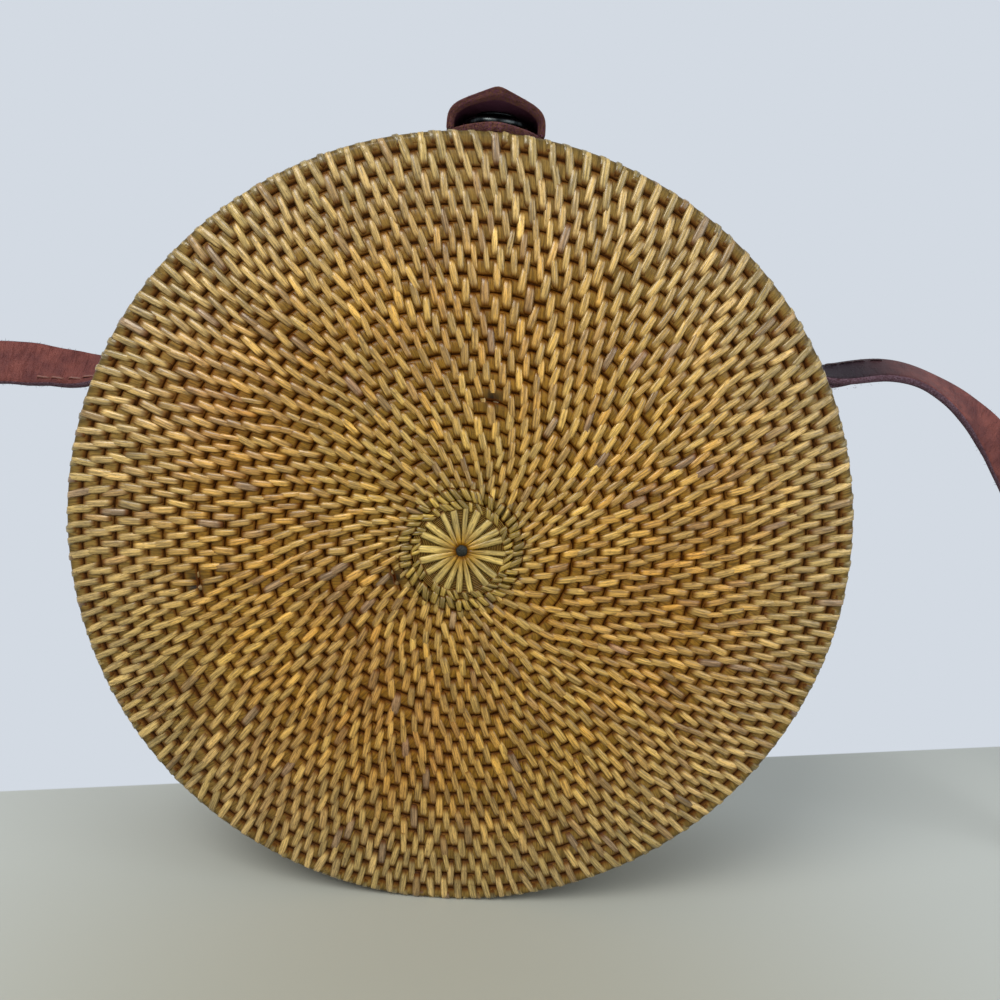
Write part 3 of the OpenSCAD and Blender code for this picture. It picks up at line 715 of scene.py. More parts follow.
def crest(s):
    """Radius, height and outward normal of the surface over the crests, at arc s.

    s runs up the side wall and is 0 where the corner coil starts to turn, then over the corner and
    inward over the dome.
    """
    s = np.asarray(s, float)
    turn = np.clip(s, 0, CORNER_ARC) / COIL_R
    r = np.where(s > CORNER_ARC, WALL_R - (s - CORNER_ARC), WALL_R + COIL_R * np.cos(turn))
    h = np.where(s < 0, CORNER_H + s, np.where(
        s > CORNER_ARC, CORNER_H + COIL_R + rise(r), CORNER_H + COIL_R * np.sin(turn)))
    slope = np.where(s > CORNER_ARC, 2 * DOME_H * r / WALL_R ** 2, 0)
    slope = slope * smooth(CORNER_ARC, CORNER_ARC + 3, s)
    nr = np.where(s > CORNER_ARC, slope, np.cos(turn))
    nh = np.where(s > CORNER_ARC, 1.0, np.sin(turn))
    size = np.hypot(nr, nh)
    return r, h, nr / size, nh / size


def groove_arcs():
    """Arc of every groove, from the one beside the edge coil to the hub."""
    side = np.arange(1, SIDE_COILS) * COIL_PITCH - CORNER_H
    face = CORNER_ARC + WALL_R - groove_r(np.arange(FACE_COILS + 1))
    return np.concatenate([side, face])


GROOVES = groove_arcs()
RIM_STRIPS = 148
STRIP_T = 0.6
# Places along a strip in coil widths from its groove, and how far its top lies over the crests there
STRIP_PLACES = np.array([-1.0, -0.92, -0.8, -0.5, 0.0, 0.5, 0.8, 0.92, 1.0])
STRIP_LIFT = np.array([-1.6, -0.62, -0.14, 0.14, 0.2, 0.14, -0.14, -0.62, -1.6])
# Section of a strip: shares of half its width, and depth under its top in thicknesses
STRIP_RING = np.array([[-1.0, -0.8], [-0.55, -0.1], [0.55, -0.1], [1.0, -0.8], [0.75, -1.1], [-0.75, -1.1]])
CORE_DEPTH = 0.3
GROOVE_DEPTH = 1.0
# A coil wider than CORNER_COIL bends round the corner; the star covers the end of the last one
CORNER_COIL = 6
LAST_COIL = 2.4
STRIP_WIDTHS = (1.6, 2.3)
# Painted shade on a strip's sides, and a little painted light on its top, as shares of its tone
STRIP_SIDE_SHADE = np.where(np.abs(STRIP_RING[:, 0]) > 0.9, 0.66, 1.04)
MIDDLE_GROOVE = SIDE_COILS + 7
SPLIT_DEPTH = 1.2
CORE_SEGMENTS = 240
CORE_WANDER = 0.11
CORE_TONE = np.array([0.52, 0.48, 0.38])
AXIS_HOLE = 0.02


def strip_spacing(r):
    """Distance from one strip to the next along a groove: closer near the middle."""
    return 2.4 + 1.55 * smooth(13, 24, r)


def gaps_after(angles):
    """Angle from each strip to the next one, all the way round."""
    return np.diff(np.append(angles, angles[0] + TAU))


def next_angles(angles, wanted, rng):
    """Strips of the next groove: each starts between two of the last one.

    Where there are too many, the tightest go, and the rest even out a little.
    """
    gaps = gaps_after(angles)
    between = angles + gaps / 2
    spare = len(between) - wanted
    if spare > 0:
        tight = np.argsort(gaps * rng.uniform(0.8, 1.2, len(gaps)))[:spare]
        between = np.delete(between, tight)
    for _ in range(3):
        before, after = np.roll(between, 1), np.roll(between, -1)
        before[0] -= TAU
        after[-1] += TAU
        between = between * 0.6 + (before + after) * 0.2
    return between


# Tones of the weave: golden in the middle of a face, straw and olive towards the rim
GOLD = srgb(168, 120, 24)
HONEY = srgb(182, 146, 62)
STRAW = srgb(176, 146, 88)
OLIVE = srgb(134, 112, 44)
ORANGE = srgb(150, 90, 26)
BROWN = srgb(104, 62, 24)
PLUM = srgb(106, 78, 72)
SLATE = srgb(74, 76, 84)
# A painted highlight, laid along the raised middle of each strip
HIGHLIGHT_CREAM = srgb(255, 240, 205)
STAR_PALE = srgb(180, 154, 84)
STAR_GOLD = srgb(158, 116, 12)
# Patches where the cane took the stain differently: x, z, radius in mm, tone and strength
PATCHES = [
    (-62, 132, 16, ORANGE, 0.7), (-50, 108, 20, ORANGE, 0.45), (-24, 62, 22, ORANGE, 0.5),
    (-6, 46, 16, ORANGE, 0.55), (44, 84, 22, ORANGE, 0.5), (60, 112, 16, ORANGE, 0.35),
    (10, 148, 20, ORANGE, 0.35), (-20, 128, 18, OLIVE, 0.6), (4, 122, 16, OLIVE, 0.5),
    (-38, 142, 14, BROWN, 0.4), (-10, 168, 18, BROWN, 0.35), (36, 160, 16, OLIVE, 0.5),
    (-74, 66, 16, OLIVE, 0.45), (28, 40, 20, OLIVE, 0.35), (-44, 30, 16, ORANGE, 0.35),
    (76, 66, 14, ORANGE, 0.3), (-30, 84, 12, BROWN, 0.4), (16, 74, 14, OLIVE, 0.35),
    (-66, 84, 1.8, SLATE, 2.0)]
# Where a strip has split and sunk, as x and z
BROKEN = np.array([[5.0, 137.0], [-16.0, 91.5], [-66.0, 86.5]])
BROKEN_REACH = 2.5


def split_near(x, z):
    """1 where a strip has split, falling to 0 round about."""
    return np.exp(-((x[..., None] - BROKEN[:, 0]) ** 2 + (z[..., None] - BROKEN[:, 1]) ** 2)
                  / BROKEN_REACH ** 2).max(-1)


def strip_tones(x, z, rng, patches, spread=0.15):
    """A tone for each strip, from its place on the bag and a spread of its own."""
    r = np.hypot(x, z - CENTRE_Z)[:, None]
    own = rng.random((len(x), 3)) if spread else np.full((len(x), 3), 0.5)
    tone = GOLD + (HONEY - GOLD) * own[:, :1] * 0.9
    for other, share in ((STRAW, smooth(58, 98, r) * 0.85), (OLIVE, smooth(66, 96, r) * own[:, 1:2] * 0.6),
                         (OLIVE, (1 - smooth(13, 19, r)) * 0.7)):
        tone = tone + (other - tone) * share
    for at_x, at_z, reach, patch, strength in patches:
        near = np.exp(-((x - at_x) ** 2 + (z - at_z) ** 2) / reach ** 2)[:, None]
        tone = tone + (patch - tone) * np.minimum(near * strength * (0.3 + 0.5 * own[:, 2:]), 1)
    # Painted shade: darker and greener at the very rim, where the weave curves away from the light
    rim = smooth(97.6, 99.6, r)
    tone = tone * (1 - 0.4 * rim) * (1 - [0.06, 0.0, 0.06] * rim)
    if not spread:
        return tone
    odd = rng.random(len(x))[:, None]
    tone = np.where(odd < 0.03, tone * 0.4 + PLUM * 0.55, tone)
    tone = np.where((odd > 0.03) & (odd < 0.09), tone * 0.5 + BROWN * 0.5, tone)
    return tone * rng.lognormal(0, spread, (len(x), 1))


def strip_profile(groove, outer, inner):
    """Places along the strips of a groove, and how far their top lies over the crests there.

    The first and the last row of strips end where the edge coil and the star cover them. Where a coil
    bends round the corner, there are more places.
    """
    if groove == 0:
        return (np.array([-0.06, 0.1, 0.3, 0.5, 0.8, 0.92, 1.0]),
                np.array([-1.5, -0.45, 0.05, 0.12, -0.3, -1.0, -1.9]))
    if groove == len(GROOVES) - 1:
        return (np.array([-1.0, -0.92, -0.8, -0.5, -0.2, 0.1, 0.35]),
                np.array([-1.9, -1.0, -0.3, 0.1, -0.15, -0.6, -1.3]))
    if max(outer, inner) <= CORNER_COIL:
        return STRIP_PLACES, STRIP_LIFT
    fine = np.arange(0.1, 0.8, 0.1) * (1 if inner > CORNER_COIL else -1)
    places = np.unique(np.concatenate([STRIP_PLACES, fine]).round(3))
    return places, np.interp(places, STRIP_PLACES, STRIP_LIFT)


def strip_block(side, groove, angles, rng, patches):
    """All the strips over one groove, as points of count by rows by ring, with their layers.

    A strip is centred on the groove, spans the coils on both sides of it, and dives into the next
    groove at either end. Its outer end is turned ahead by the lean.
    """
    s0 = GROOVES[groove]
    outer = s0 - GROOVES[groove - 1] if groove > 0 else COIL_PITCH
    inner = GROOVES[groove + 1] - s0 if groove + 1 < len(GROOVES) else LAST_COIL
    places, lift = strip_profile(groove, outer, inner)
    count = len(angles)
    travel = np.where(places < 0, places * outer, places * inner)
    travel = travel[None] + rng.normal(0, 0.12, (count, 1)) * (1 - np.abs(places))
    r, h, nr, nh = crest(s0 + travel)
    gaps = gaps_after(angles)
    spacing = (gaps + np.roll(gaps, 1)) / 2 * max(r.mean(), HUB_R)
    width = np.clip(0.56 * spacing, *STRIP_WIDTHS) * rng.uniform(0.84, 1.06, count)
    lean = face_swirl(r.mean(), angles) + rng.normal(0, 0.08, count)
    height = lift[None] + rng.normal(0, 0.07, (count, 1)) + rng.normal(0, 0.05, (count, len(lift)))
    centre = on_half(side, float(crest(s0)[0]), angles, 0.0)
    broken = split_near(centre[:, 0], centre[:, 2])
    height = height - SPLIT_DEPTH * broken[:, None]
    ring = STRIP_RING
    across = ring[:, 0] * width[:, None, None] / 2
    tilt = rng.normal(0, 0.07, (count, 1, 1))
    level = height[..., None] + ring[:, 1] * STRIP_T + tilt * across
    angle = (angles[:, None] - np.tan(lean)[:, None] * travel / r)[..., None] + across / r[..., None]
    at_r, at_h = (here[..., None] + out[..., None] * level for here, out in ((r, nr), (h, nh)))
    points = above_ground(on_half(side, at_r, angle, at_h))
    x, _, z = points[:, len(places) // 2, 0].T
    # The raised middle of each strip is lighter, partly polish and partly painted highlight; its sides
    # carry painted shade
    ridge = (1 - smooth(0.35, 0.85, np.abs(places)))[None, :, None, None] * np.ones((1, 1, len(ring), 1))
    tone = strip_tones(x, z, rng, patches)[:, None, None]
    tone = tone * (0.8 + 0.23 * ridge) * STRIP_SIDE_SHADE[:, None] + HIGHLIGHT_CREAM * 0.055 * ridge
    # Painted shade in the hole where a strip has split and sunk
    tone = tone * (1 - 0.9 * broken)[:, None, None, None]
    seed = rng.random(count)[:, None, None] * 60
    grain = side_by_side(across, travel[..., None] + seed * 3, seed)
    # Dive: dirt and painted shade towards the ends, where the strip sinks into the grooves, and painted
    # shade on its underside
    depth = smooth(0.58, 1.0, np.abs(places))[None, :, None]
    dive = np.clip(depth + 0.25 * (ring[:, 1] < -0.5) + 0 * across, 0, 1)
    return points, tone, grain, dive, tube_quads(len(places), len(ring), count)


def join_blocks(blocks):
    """Puts blocks of strips into one mesh's arrays."""
    points, tones, grains = (np.concatenate([block[k].reshape(-1, 3) for block in blocks])
                             for k in range(3))
    offsets = np.cumsum([0] + [block[3].size for block in blocks])
    faces = np.concatenate([block[4] + offset for block, offset in zip(blocks, offsets)])
    return points, faces, tones, grains, np.concatenate([block[3].ravel() for block in blocks])


def face_swirl(r, angle):
    """Lean of the strips: slight at the rim, stronger near the star, and wandering a little."""
    wander = 2.6 * np.sin(3 * angle + r / 9.0) + 2.2 * np.sin(5 * angle - r / 13.0 + 1.0)
    return np.radians(8 + 9 * (1 - smooth(12, 85, r)) + wander * smooth(14, 40, r))


def make_weave(side, name, body, seed, patches):
    """The strips of one half, grown from the seam to the star, as a side, a face and a middle piece."""
    rng = np.random.default_rng(seed)
    base = round_angles(RIM_STRIPS)
    angles = base + 0.09 * np.sin(base - 1.0) + rng.normal(0, 0.0022, RIM_STRIPS)
    blocks = []
    for groove, arc_here in enumerate(GROOVES):
        r = float(crest(arc_here)[0])
        if groove:
            wanted = min(len(angles), int(round(TAU * r / strip_spacing(r))))
            angles = next_angles(angles, RIM_STRIPS if groove < SIDE_COILS else wanted, rng)
        jitter = angles + rng.normal(0, 0.08, len(angles)) * 2.0 / max(r, 10)
        blocks.append(strip_block(side, groove, jitter, rng, patches))
    rim = SIDE_COILS - 1
    for part, chosen in (("side", blocks[:rim]), ("face", blocks[rim:MIDDLE_GROOVE]),
                         ("middle", blocks[MIDDLE_GROOVE:-2])):
        points, faces, tone, grain, dive = join_blocks(chosen)
        make_piece(f"{name}_{part}_weave", points, faces, SPLIT_CANE, body, "cane_wall",
                   [f"{name}_shell"], cane_colour=tone, grain=grain, dive=dive)


def revolved(side, section, segments):
    """A closed half body from a section that runs from axis to axis, in radius and height."""
    section = np.asarray(section, float)
    section[[0, -1], 0] = AXIS_HOLE
    return on_half(side, section[:, :1], round_angles(segments)[None], section[:, 1:])


def core_outside():
    """Outer side of the core, coil by coil: section, arc, radius of each coil, and dirt with painted shade
    in the grooves.

    Across a coil, with q from -1 to 1, the surface sinks from its crest by 1 - (1 - |q|^2.4)^(1/2.4).
    """
    arcs = np.concatenate([[GROOVES[0] - COIL_PITCH * 0.2], GROOVES])
    shares = np.array([0.0, 0.04, 0.1, 0.25, 0.5, 0.75, 0.9, 0.96])
    fine_shares = np.array([0.0, 0.03, 0.08, 0.16, 0.25, 0.35, 0.45, 0.55, 0.65, 0.75, 0.84, 0.92, 0.97])
    found = []
    for low, high in zip(arcs[:-1], arcs[1:]):
        share = fine_shares if high - low > CORNER_COIL else shares
        coil_r = float(crest((low + high) / 2)[0])
        found.append(np.stack([low + (high - low) * share, 2 * share - 1, 0 * share + coil_r], -1))
    places, q, coil_r = np.concatenate(found).T
    r, h, nr, nh = crest(places)
    at_corner = np.exp(-((places - CORNER_ARC / 2) / 3.0) ** 2)
    sunk = CORE_DEPTH * (1 - 0.8 * at_corner) + GROOVE_DEPTH * (1 - (1 - np.abs(q) ** 2.4) ** (1 / 2.4))
    return np.stack([r - nr * sunk, h - nh * sunk], -1), places, coil_r, smooth(0.45, 1.12, np.abs(q))


def make_core(side, name, body, patches):
    """The coils that the strips wrap: streaked cane between the strips, and a smooth inner side."""
    outer, arcs, coil_r, dirt_and_shade = (values[::-1] for values in core_outside())
    inner_r = np.linspace(INNER_R, 0, 24)
    inner = np.stack([inner_r, CORNER_H + rise(inner_r) - COIL_R], -1)
    hub = np.array([[0, CROWN_H - 0.35], [outer[0, 0] - 0.4, CROWN_H - 0.45]])
    section = np.concatenate([hub, outer, [[INNER_R, EDGE_H]], inner])
    padding = (len(hub), len(inner) + 1)
    arcs, coil_r, dirt_and_shade = (np.pad(values, padding, "edge")[:, None] for values in (arcs, coil_r, dirt_and_shade))
    angle = round_angles(CORE_SEGMENTS)
    points = revolved(side, section, CORE_SEGMENTS)
    on_face = smooth(CORNER_ARC, CORNER_ARC + 3, arcs) * smooth(11, 14, section[:, :1])
    wander = CORE_WANDER * on_face * (np.sin(29 * angle + 1.7 * coil_r) + np.sin(47 * angle - 2.3 * coil_r))
    points[..., 0] += wander * np.cos(angle)
    points[..., 2] += wander * np.sin(angle)
    points = above_ground(points, 0.35)
    unrolled = np.abs((angle + math.pi) % TAU - math.pi)
    lean = np.tan(face_swirl(coil_r, angle))
    grain = side_by_side(unrolled * coil_r + lean * arcs, arcs, 7.0)
    x, _, z = points.reshape(-1, 3).T
    # Painted shade on the core in the holes of split strips
    tone = strip_tones(x, z, None, patches, 0) * CORE_TONE * (1 - 0.95 * split_near(x, z))[:, None]
    make_piece(f"{name}_core", points, tube_quads(len(section), CORE_SEGMENTS), CORE, body, "cane_wall",
               [f"{name}_shell"], cane_colour=tone, grain=grain, dive=dirt_and_shade + 0 * angle)


THREAD_PITCH = 0.4
THREADS_R = 12.3


def make_hub(side, name, body):
    """Fine threads wound round the hub, under the star and between its strips."""
    r = np.arange(0.05, THREADS_R, 0.1)
    wave = np.cos(r * TAU / THREAD_PITCH)
    base = CROWN_H - 0.12 - DOME_H * (r / WALL_R) ** 2 + 0.3 * np.clip(1 - ((r - 11.2) / 1.2) ** 2, 0, 1)
    top = np.stack([r, base + 0.13 * wave], -1)
    foot = CROWN_H - 1.2
    section = np.concatenate([[[0, base[0]]], top, [[THREADS_R, foot], [0, foot]]])
    segments = 96
    points = revolved(side, section, segments)
    angle = round_angles(segments)
    # Darker in the valleys between the threads: dirt and painted shade
    dirt_and_shade = np.pad(0.6 - 0.55 * wave, (1, 2), "edge")[:, None] + 0 * angle
    tone = (OLIVE * 0.45 + HONEY * 0.3) * np.ones((points.size // 3, 1))
    make_piece(f"{name}_hub_threads", points, tube_quads(len(section), segments), CORE, body, "cane_star",
               [f"{name}_rosette"], cane_colour=tone, dive=dirt_and_shade,
               grain=side_by_side(section[:, :1] * 3, angle * 4.0, 3.0))


def wound_strips(turns, angle, lean):
    """Height of closely wound strips, from 0 between them to 1 on their middles, and the dirt and painted
    shade between them.
    """
    height = np.abs(np.cos(np.pi * (turns + lean * np.sin(angle)))) ** 0.45
    return height, (1 - smooth(0.1, 0.6, height)) * 0.8


EDGE_WRAPS = 300
ROWS_PER_WRAP = 8
WRAP_RING = 14


def make_edge_coil(side, name, body, seed):
    """The last coil of a half, bound closely all round; it is pressed flat along the seam."""
    rng = np.random.default_rng(seed)
    angle = round_angles(EDGE_WRAPS * ROWS_PER_WRAP)
    round_coil = round_angles(WRAP_RING)
    turns = (angle * EDGE_WRAPS / TAU)[:, None]
    turns = turns + rng.normal(0, 0.04, EDGE_WRAPS).repeat(ROWS_PER_WRAP)[:, None]
    profile, dirt_and_shade = wound_strips(turns, round_coil[None], 0.35)
    size = 1.93 + 0.24 * profile
    h = EDGE_H / 2 + 0.03 + size * np.sin(round_coil)
    points = on_half(side, WALL_R + size * np.cos(round_coil), angle[:, None],
                     np.clip(h, SEAM_AIR, EDGE_H + 0.1))
    points = above_ground(points, 0.56)
    strip = np.floor(turns[:, :1] + 0.5 + 0 * round_coil).astype(int) % EDGE_WRAPS
    at = round_angles(EDGE_WRAPS)
    tones = strip_tones(WALL_R * np.cos(at), CENTRE_Z + WALL_R * np.sin(at), rng, [])
    seeds = rng.random(EDGE_WRAPS)[strip] * 60
    make_piece(f"{name}_edge_wrapping", points, tube_quads(len(angle), WRAP_RING, loop=True), EDGE_CANE,
               body, "cane_edge", [f"{name}_edge_coil"], cane_colour=tones[strip] * 0.86,
               grain=side_by_side(turns * 2.0, round_coil * 2.0, seeds), dive=dirt_and_shade)


def lay_strips(half, part, side, body, angles, rows, lift, width, turn, layer, rng, tone, dirt_and_shade):
    """Flat strips over the hub, from their angles, radii, widths, turns across, and layers.

    Tone is a function, called after the seeds are drawn, that gives the tones row by row.
    """
    ring = STRIP_RING * [1.0, 0.85]
    across = ring[:, 0] * (width / np.cos(turn))[..., None] / 2
    level = (lift + layer)[..., None] + ring[:, 1] * STRIP_T
    sway = np.tan(turn) * (rows - rows.mean())
    sideways = across + sway[..., None]
    far = np.hypot(sideways, rows[..., None])
    base = CROWN_H + 0.1 - DOME_H * (far / WALL_R) ** 2
    points = on_half(side, far, angles + np.arctan2(sideways, rows[..., None]), base + level)
    seeds = rng.random(len(angles))[:, None, None] * 60
    tone = np.broadcast_to(tone() * STAR_SIDE_SHADE[:, None], points.shape)
    make_piece(f"{half}_{part}", points, tube_quads(rows.shape[1], len(ring), len(angles)), SPLIT_CANE,
               body, "cane_star", [f"{half}_rosette"], cane_colour=tone,
               grain=side_by_side(across, rows[..., None], seeds),
               dive=np.broadcast_to(dirt_and_shade[None, :, None], points.shape[:3]))


STAR_STRIPS = 20
SHORT_STRIPS = 40
# Painted shade on the sides of a star strip, and a little painted light on its top
STAR_SIDE_SHADE = np.where(np.abs(STRIP_RING[:, 0]) > 0.9, 0.62, 1.04)
# Rings of short strips: name, radii along a strip, lift there, spreads of radius and angle, widths,
# turns, layers, tone and its spread, and where the dirt and painted shade end and begin
SHORT_STRIP_RINGS = (
    ("star_ring", [11.9, 12.2, 12.8, 13.8, 14.8, 15.5, 15.9], [-0.9, 0.1, 0.5, 0.6, 0.45, 0.0, -1.0],
     0.25, 0.03, (1.15, 1.6), (0.05, 0.65), 0.3, OLIVE * 0.55 + HONEY * 0.4, 0.25,
     (11.9, 12.8, 14.8, 15.8)),
    ("star_band", [9.9, 10.15, 10.6, 11.4, 12.2, 12.7, 13.1], [-0.5, 0.1, 0.4, 0.5, 0.4, 0.05, -0.6],
     0.2, 0.05, (1.0, 1.5), (0.1, 0.85), 0.25, OLIVE * 0.65 + HONEY * 0.25, 0.2, (9.9, 10.7, 12.2, 13.0)))


def make_rosette(side, name, body, seed):
    """Straight flat strips that cross the hub from the eye, like paddles, over rings of short ones."""
    rng = np.random.default_rng(seed)
    each = (STAR_STRIPS, 1)
    rows = np.array([1.0, 1.8, 2.8, 4.4, 6.4, 8.4, 10.4, 11.4])
    lift = np.array([0.02, 0.42, 0.5, 0.46, 0.42, 0.38, 0.36, 0.1])
    radius = 1.0 + (rows - 1.0) * rng.uniform(0.93, 1.03, each)
    width = (1.05 + 0.75 * smooth(1.0, 7.0, rows))[None] * rng.uniform(0.78, 1.16, each)
    layer = rng.permutation(STAR_STRIPS)[:, None] * 0.014
    angles = (round_angles(STAR_STRIPS) + rng.normal(0, 0.03, STAR_STRIPS))[:, None, None]
    turn = rng.normal(0, 0.03, each)
    far = smooth(2.0, 7.0, rows)[None, :, None, None]

    def star_tone():
        return STAR_GOLD * (1 - far) + (STAR_PALE * rng.lognormal(0, 0.14, each))[:, None, None] * far

    # Dirt and painted shade round the eye, and where the strips' outer ends sink
    dirt_and_shade = np.maximum(0.9 - 0.9 * smooth(1.2, 2.6, rows), smooth(10.4, 11.4, rows))
    lay_strips(name, "star", side, body, angles, radius, lift, width, turn, layer, rng, star_tone, dirt_and_shade)

    each = (SHORT_STRIPS, 1)
    for part, rows, lift, wander, jitter, widths, turns, layers, tone, spread, clean in SHORT_STRIP_RINGS:
        rows = np.array(rows)
        radius = rows + rng.normal(0, wander, each)
        width = rng.uniform(*widths, each) * np.ones(len(rows))
        angles = (round_angles(SHORT_STRIPS) + rng.normal(0, jitter, SHORT_STRIPS))[:, None, None]
        turn = rng.uniform(*turns, each)
        layer = rng.random(each) * layers
        dirt_and_shade = np.maximum(1 - smooth(*clean[:2], rows), smooth(*clean[2:], rows))
        lay_strips(name, part, side, body, angles, radius, np.array(lift), width, turn, layer, rng,
                   lambda: (tone * rng.lognormal(0, spread, each))[:, None, None], dirt_and_shade)


def make_eye(side, name, body):
    """The knot in the middle of the star: a low round cap with lumps, h = (1 - (r/R)^2)^0.6."""
    r = np.linspace(0, EYE_R, 12)
    cap = CROWN_H + 0.1 + 1.0 * (1 - (r / EYE_R) ** 2) ** 0.6
    section = np.concatenate([np.stack([r, cap], -1), [[EYE_R, CROWN_H - 0.3], [0, CROWN_H - 0.3]]])
    angle = round_angles(40)
    points = revolved(side, section, len(angle))
    lumps = 0.05 * np.sin(angle * 5 + section[:, :1] * 4) + 0.04 * np.sin(angle * 9 - section[:, :1] * 7)
    points[..., 1] += side * lumps * smooth(0.1, 0.6, section[:, :1])
    make_piece(f"{name}_eye_knot", points, tube_quads(len(section), len(angle)), KNOT, body, "cane_eye",
               [f"{name}_eye"])


# Hinge, loops and linings

LASHING_STRIPS = 7
LASHING_PITCH = 4.0


def make_lashing():
    """Flat cane strips that cross the seam underneath and tuck in behind the edge coils."""
    rng = np.random.default_rng(31)
    y = np.array([-4.1, -3.85, -3.3, -2.2, -0.9, 0.0, 0.9, 2.2, 3.3, 3.85, 4.1])
    z = np.array([2.1, 1.1, 0.62, 0.5, 0.48, 0.47, 0.48, 0.5, 0.62, 1.1, 2.1])
    ring = STRIP_RING
    middle = (np.arange(LASHING_STRIPS) - (LASHING_STRIPS - 1) / 2) * LASHING_PITCH
    middle = (middle + rng.normal(0, 0.12, LASHING_STRIPS))[:, None, None]
    across = ring[:, 0] * 1.2 + 0 * y[:, None]
    points = side_by_side(middle + across, y[:, None], z[:, None] + ring[:, 1] * 0.42)
    tone = (STRAW * 0.8 * rng.lognormal(0, 0.1, (LASHING_STRIPS, 1)))[:, None, None]
    # The strips darken where they tuck in behind the edge coils: dirt and painted shade
    piece = make_piece("hinge_lashing", points, tube_quads(len(y), len(ring), LASHING_STRIPS), SPLIT_CANE,
                       None, "cane_lashing", ["hinge_lashing_front", "hinge_lashing_back"],
                       cane_colour=np.broadcast_to(tone, points.shape),
                       grain=side_by_side(across[None], y[None, :, None], middle),
                       dive=np.broadcast_to(smooth(3.2, 4.1, np.abs(y))[None, :, None], points.shape[:3]))
    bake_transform(piece)


EAR_ROWS = 360
EAR_WRAP = 1.5


def make_ear(name, angle, seed):
    """A loop of cane bound with a flat strip: two legs through the wall, joined by a bar."""
    rng = np.random.default_rng(seed)
    top = BAG_R + EAR_REACH
    knee = top - EAR_BEND_R
    bar = EAR_HALF - EAR_BEND_R
    turn = np.linspace(0, math.pi / 2, 12)
    bend = np.stack([knee + EAR_BEND_R * np.sin(turn), -bar - EAR_BEND_R * np.cos(turn)], -1)
    leg = np.stack([np.linspace(INNER_R, knee, 30)[:-1], np.full(29, -EAR_HALF)], -1)
    across = np.stack([np.full(25, top), np.linspace(-bar, bar, 27)[1:-1]], -1)
    half = np.concatenate([leg, bend])
    path = np.concatenate([half, across, half[::-1] * [1, -1]])
    radial = np.array([math.cos(angle), 0, math.sin(angle)])
    path = path[:, :1] * radial + [0, EAR_Y, CENTRE_Z] + path[:, 1:] * np.array([0, 1, 0])
    length = run_along(path)
    fine = np.linspace(0, length[-1], EAR_ROWS)
    path = rows_at(fine, length, path)
    round_bar = round_angles(WRAP_RING)
    turns = (fine / EAR_WRAP)[:, None]
    profile, dirt_and_shade = wound_strips(turns, round_bar[None], 0.3)
    size = EAR_R - 0.2 + 0.2 * profile
    points = tube_points(path, *frames_along(path), size, round_bar)
    wrap = np.floor(turns + 0.5 + 0 * round_bar).astype(int)
    tone = (STRAW * 0.72 * rng.lognormal(0, 0.12, (wrap.max() + 1, 1)))[wrap]
    make_piece(f"{name}_wrapping", points, tube_quads(len(fine), WRAP_RING), EDGE_CANE, "back_half",
               "cane_lashing", [name], cane_colour=tone, dive=dirt_and_shade,
               grain=side_by_side(turns * 1.5, round_bar * EAR_R, wrap * 3.1))


LINING_T = 0.8
LINING_OUT_R = INNER_R - 0.1
LINING_IN_R = LINING_OUT_R - LINING_T
LINING_TOP_H = 2.25
LINING_SEGMENTS = 288
LINING_FOLDS = (7, 11, 17, 23, 31, 5)


def lining_floor(radii, depth):
    """Radii and heights of the lining over the inner side of the dome."""
    return np.stack([radii, CORNER_H + rise(radii) - COIL_R - depth], -1)


def make_lining(side, name, body, seed):
    """A cup of cotton glued inside the wall, with soft wrinkles that fade towards its edge."""
    rng = np.random.default_rng(seed)
    angle = round_angles(LINING_SEGMENTS)
    wall_h = np.linspace(LINING_TOP_H, CORNER_H - COIL_R - 1.2, 26)
    outside = np.concatenate([lining_floor(np.linspace(0, LINING_OUT_R, 40), 0.1),
                              [[LINING_OUT_R, LINING_TOP_H]]])
    section = np.concatenate([outside, np.stack([np.full(len(wall_h), LINING_IN_R), wall_h], -1),
                              lining_floor(np.linspace(LINING_IN_R - 0.6, 0, 60), LINING_T + 0.1)])
    section[[0, -1], 0] = AXIS_HOLE
    r, h = section[:, :1], section[:, 1:]
    phase = rng.random(6) * TAU
    run = np.arange(len(section))[:, None]
    ripple = sum(np.sin(angle * k + run * 0.11 * (k % 5) + phase[i]) for i, k in enumerate(LINING_FOLDS))
    fade = smooth(len(outside) + 3, len(outside) + 14, run) * smooth(3, 20, r)
    shift = np.where((run >= len(outside)) & (r > 3), 0.14 * fade * (ripple - 2.4), 0)
    on_floor = run >= len(outside) + len(wall_h)
    points = on_half(side, r + np.where(on_floor, 0, shift), angle, h + np.where(on_floor, shift, 0))
    on_wall = (run >= len(outside) - 1) & ~on_floor
    grain = side_by_side(np.where(on_wall, angle * LINING_IN_R, points[..., 0]),
                         np.where(on_wall, run_along(section)[:, None], points[..., 2]), 0.0)
    make_piece(f"{name}_cotton_lining", points, tube_quads(len(section), LINING_SEGMENTS), COTTON, body,
               "lining_cotton", [f"{name}_lining"], grain=grain)


CORD_ROWS = 1500
CORD_TWISTS = 180
CORD_R = 1.0


def make_lining_cord(side, name, body):
    """A two-ply twisted cord, 2 mm thick, sewn over the lining's edge."""
    angle = round_angles(CORD_ROWS)[:, None]
    round_cord = round_angles(10)
    thick = 0.72 + 0.28 * np.abs(np.cos(round_cord[None] - angle * CORD_TWISTS)) ** 0.6
    points = on_half(side, LINING_OUT_R - CORD_R + thick * np.cos(round_cord), angle,
                     SEAM_AIR + 0.02 + CORD_R + thick * np.sin(round_cord))
    make_piece(f"{name}_edge_cord", points, tube_quads(CORD_ROWS, len(round_cord), loop=True), BRAID, body,
               "lining_braid", [f"{name}_lining_cord"],
               grain=side_by_side(round_cord, angle * LINING_OUT_R, 0.0))


# Clasp

